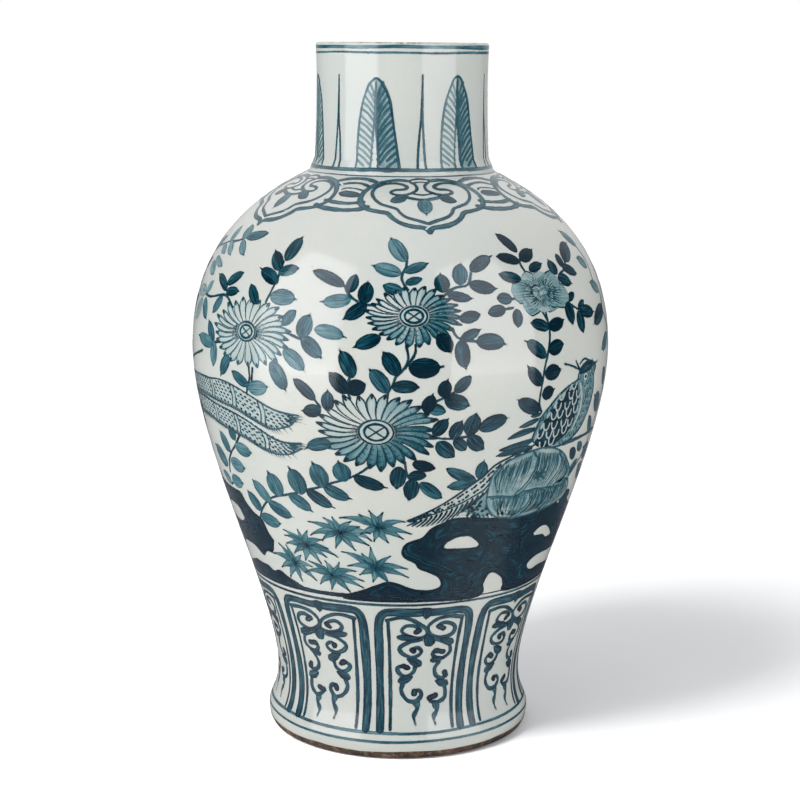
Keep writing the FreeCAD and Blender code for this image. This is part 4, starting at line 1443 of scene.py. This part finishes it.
band = Painting()
for line in BAND_LINES:
    band.hoop(*line)
for number, band.offset in enumerate(LAPPET_TURNS):
    band.side = 1 if number % 3 != 1 else -1
    right = 18.3 if number < 4 else 19.8
    left, lean = -right, chance.uniform(-0.5, 0.5)
    foot, top = LAPPET_FOOT + chance.uniform(1.4, 2.2), LAPPET_TOP + chance.uniform(-0.8, 0.8)
    rising = [(left, foot), (left - 0.3, 45), (left - 0.2, 75), (left, 92)]
    cusp = [(left + 1.8, top - 1.5), (left + 6, top), (-3 + lean, top - 0.4), (0, top + 0.3)]
    turning = [(3 + lean, top - 0.6), (right - 6, top - 0.2), (right - 1.6, top - 2.2)]
    falling = [(right, 91), (right + 0.3, 75), (right, 45), (right - 0.5, foot)]
    band.line(rising + cusp + turning + falling, 5.5, BORDER_TONE, 2)
    band.leaf((0.2, top + 2.6), (-0.2, top - 6), 0.8, 6.0, 3)
    left_inner = [(left + 4.4, foot), (left + 4.3, 50), (left + 4.0, 78), (left + 3.6, 95)]
    right_inner = [(right - 4.4, foot), (right - 4.0, 50), (right - 3.8, 78), (right - 3.4, 95)]
    band.line(left_inner, 2.1, INNER_TONE, 2)
    band.line(right_inner, 2.1, INNER_TONE, 2)
    for path in SCROLLS:
        jitter = [(x + chance.uniform(-0.25, 0.25), z + chance.uniform(-0.35, 0.35)) for x, z in path]
        band.line(jitter, 2.6, SCROLL_TONE, 3)
        band.line(jitter[-2:], 3.7, CURL_TONE, 4)
    for base, tip, width in SCROLL_LEAVES:
        band.leaf(base, tip, 0.84, width + 1.2, 4, drop_width)
    for x, z, length in FLAMES:
        wave = [(x, z), (x + 0.7, z - length * 0.3), (x - 0.9, z - length * 0.6), (x + 0.2, z - length)]
        band.line(wave, 5.0, 0.6, 3, lambda share: (1.04 - share) ** 0.6 * (0.8 + 0.2 * np.sin(share * 15)))
band.finish("lappet_band")

# The studio: a white floor that runs out of sight, two tall soft boxes in front to the left and right that
# show as soft bands in the glaze, a high lamp for the shadow, and the camera that took the photograph.


def toward(where, turn):
    """1 on the part of the floor that lies in front of a soft box, and 0 beside it."""
    angle = math.radians(turn)
    ahead = where.vector("DOT_PRODUCT", (math.sin(angle), -math.cos(angle), 0), "Value")
    aside = where.vector("DOT_PRODUCT", (math.cos(angle), math.sin(angle), 0), "Value")
    return (aside.math("ABSOLUTE") - ahead * 0.43).between(-0.05, 0.05, 1.0, 0.0)


LEFT_BOX, RIGHT_BOX = -56, 50
BOX_DISTANCE, BOX_SIZE, BOX_MIDDLE = 1.5, (1.33, 2.3), 1.17
BOX_COLOUR = (0.925, 0.95, 1.0)
KEY_SIZE, KEY_PLACE, KEY_AIM = (0.8, 0.8), (-1.15, -0.9, 1.75), (0, 0, 0.1)
LEFT_POWER, RIGHT_POWER, KEY_POWER = 29.5, 22.5, 80
FLOOR_REACH, FLOOR_DROP = 8.0, 0.0004
FLOOR_GREY, FLOOR_PALE = (0.73, 0.73, 0.73, 1), (0.75, 0.75, 0.75, 1)
FLOOR_MIRRORED, FLOOR_GLEAM = (0.10, 0.10, 0.11, 1), (0.92, 0.94, 0.98, 1)
FLOOR_BOUNCED = (0.46, 0.46, 0.45, 1)


def studio_floor():
    """Lit close to the vase, where its shadow falls, and glowing white farther out. The vase gets less light
    from it, and mirrors it as dark, but for a gleam before each soft box that grows with distance."""
    material, where = new_material("studio_floor")
    colour = where.noise(3.0, 2.0).between(0.3, 0.7).mixed(FLOOR_GREY, FLOOR_PALE)
    away = where.vector("DISTANCE", (0, 0, 0), "Value")
    gleam = (toward(where, LEFT_BOX) + toward(where, RIGHT_BOX)) * away.between(0.2, 1.6, 0.2, 1.0)
    gleam = gleam.mixed(FLOOR_MIRRORED, FLOOR_GLEAM)
    bounced = where.node("ShaderNodeLightPath", output="Is Glossy Ray").mixed(FLOOR_BOUNCED, gleam)
    seen = where.node("ShaderNodeLightPath")
    colour = seen.mixed(bounced, colour)
    lit = where.node("ShaderNodeBsdfPrincipled", None, {"Base Color": colour, "Roughness": 0.9, "IOR": 1.1})
    glow = where.node("ShaderNodeEmission", None, {"Color": (1, 1, 1, 1), "Strength": 1.1})
    (seen * away.between(0.25, 0.75, 0.05, 1.0)).parted(lit, glow).show()
    corners = np.array([(-1, -1, 0), (1, -1, 0), (1, 1, 0), (-1, 1, 0)]) * FLOOR_REACH
    floor = new_piece("studio_floor", corners, np.array([(0, 1, 2, 3)]))
    floor.location.z = -FLOOR_DROP
    floor.data.materials.append(material)
    return floor


def lamp(name, size, place, aim, power, colour=(1, 1, 1)):
    """A rectangular lamp at a place, which faces another place."""
    light = bpy.data.lights.new(name, "AREA")
    light.shape = "RECTANGLE"
    light.size, light.size_y = size
    light.energy, light.color = power, colour
    holder = bpy.data.objects.new(name, light)
    holder.location = place
    holder.rotation_euler = (Vector(aim) - holder.location).to_track_quat("-Z", "Y").to_euler()
    bpy.context.scene.collection.objects.link(holder)
    return holder


def soft_box(name, turn, power):
    """A tall lamp that faces the vase from the given side, in degrees."""
    angle = math.radians(turn)
    place = (math.sin(angle) * BOX_DISTANCE, -math.cos(angle) * BOX_DISTANCE, BOX_MIDDLE)
    lamp(name, BOX_SIZE, place, (0, 0, BOX_MIDDLE), power, BOX_COLOUR)


def key_box(floor):
    """The key lamp, high on the left. It lights only the floor, and so gives the vase's shadow."""
    floors = bpy.data.collections.new("lit_by_the_key")
    floors.objects.link(floor)
    key = lamp("key_box", KEY_SIZE, KEY_PLACE, KEY_AIM, KEY_POWER)
    key.light_linking.receiver_collection = floors


def studio_air():
    """White for the camera. The vase gets light from above and behind, and next to none from the front, so
    that the soft boxes stand out in the glaze."""
    world = bpy.data.worlds.new("studio_air")
    bpy.context.scene.world = world
    world.use_nodes = True
    world.node_tree.nodes.clear()
    where = Shade(world.node_tree).node("ShaderNodeTexCoord")
    white = where.node("ShaderNodeBackground", None, {"Color": (1, 1, 1, 1), "Strength": 1.0})
    front = where.node("ShaderNodeBackground", None, {"Color": (0.9, 0.95, 1, 1), "Strength": 0.05})
    back = where.node("ShaderNodeBackground", None, {"Color": (0.98, 0.99, 1, 1), "Strength": 1.15})
    behind = where.axis("Y") * 0.6 + where.axis("Z") - where.axis("X").math("ABSOLUTE") * 0.4
    lit = behind.between(0.1, 1.0).parted(front, back)
    where.node("ShaderNodeLightPath").parted(lit, white).show("ShaderNodeOutputWorld")


CAMERA_DISTANCE, CAMERA_HEIGHT = 1.204, 0.4464
# How far it looks down and how far it is turned about its own axis, in degrees
CAMERA_DROP, CAMERA_ROLL = 10.77, 0.40
CAMERA_LENS, CAMERA_SENSOR = 83.25, 36.0


def camera():
    """A long lens a little below the rim's height, straight in front of the vase."""
    lens = bpy.data.cameras.new("camera")
    lens.lens, lens.sensor_width = CAMERA_LENS, CAMERA_SENSOR
    holder = bpy.data.objects.new("camera", lens)
    bpy.context.scene.collection.objects.link(holder)
    tilt = Matrix.Rotation(math.radians(90 - CAMERA_DROP), 4, "X")
    roll = Matrix.Rotation(math.radians(CAMERA_ROLL), 4, "Z")
    holder.location = (0, -CAMERA_DISTANCE, CAMERA_HEIGHT)
    holder.rotation_mode = "QUATERNION"
    holder.rotation_quaternion = (tilt @ roll).to_quaternion()
    bpy.context.scene.camera = holder


studio_air()
soft_box("left_soft_box", LEFT_BOX, LEFT_POWER)
soft_box("right_soft_box", RIGHT_BOX, RIGHT_POWER)
key_box(studio_floor())
camera()
bpy.context.scene.view_settings.view_transform = "Standard"
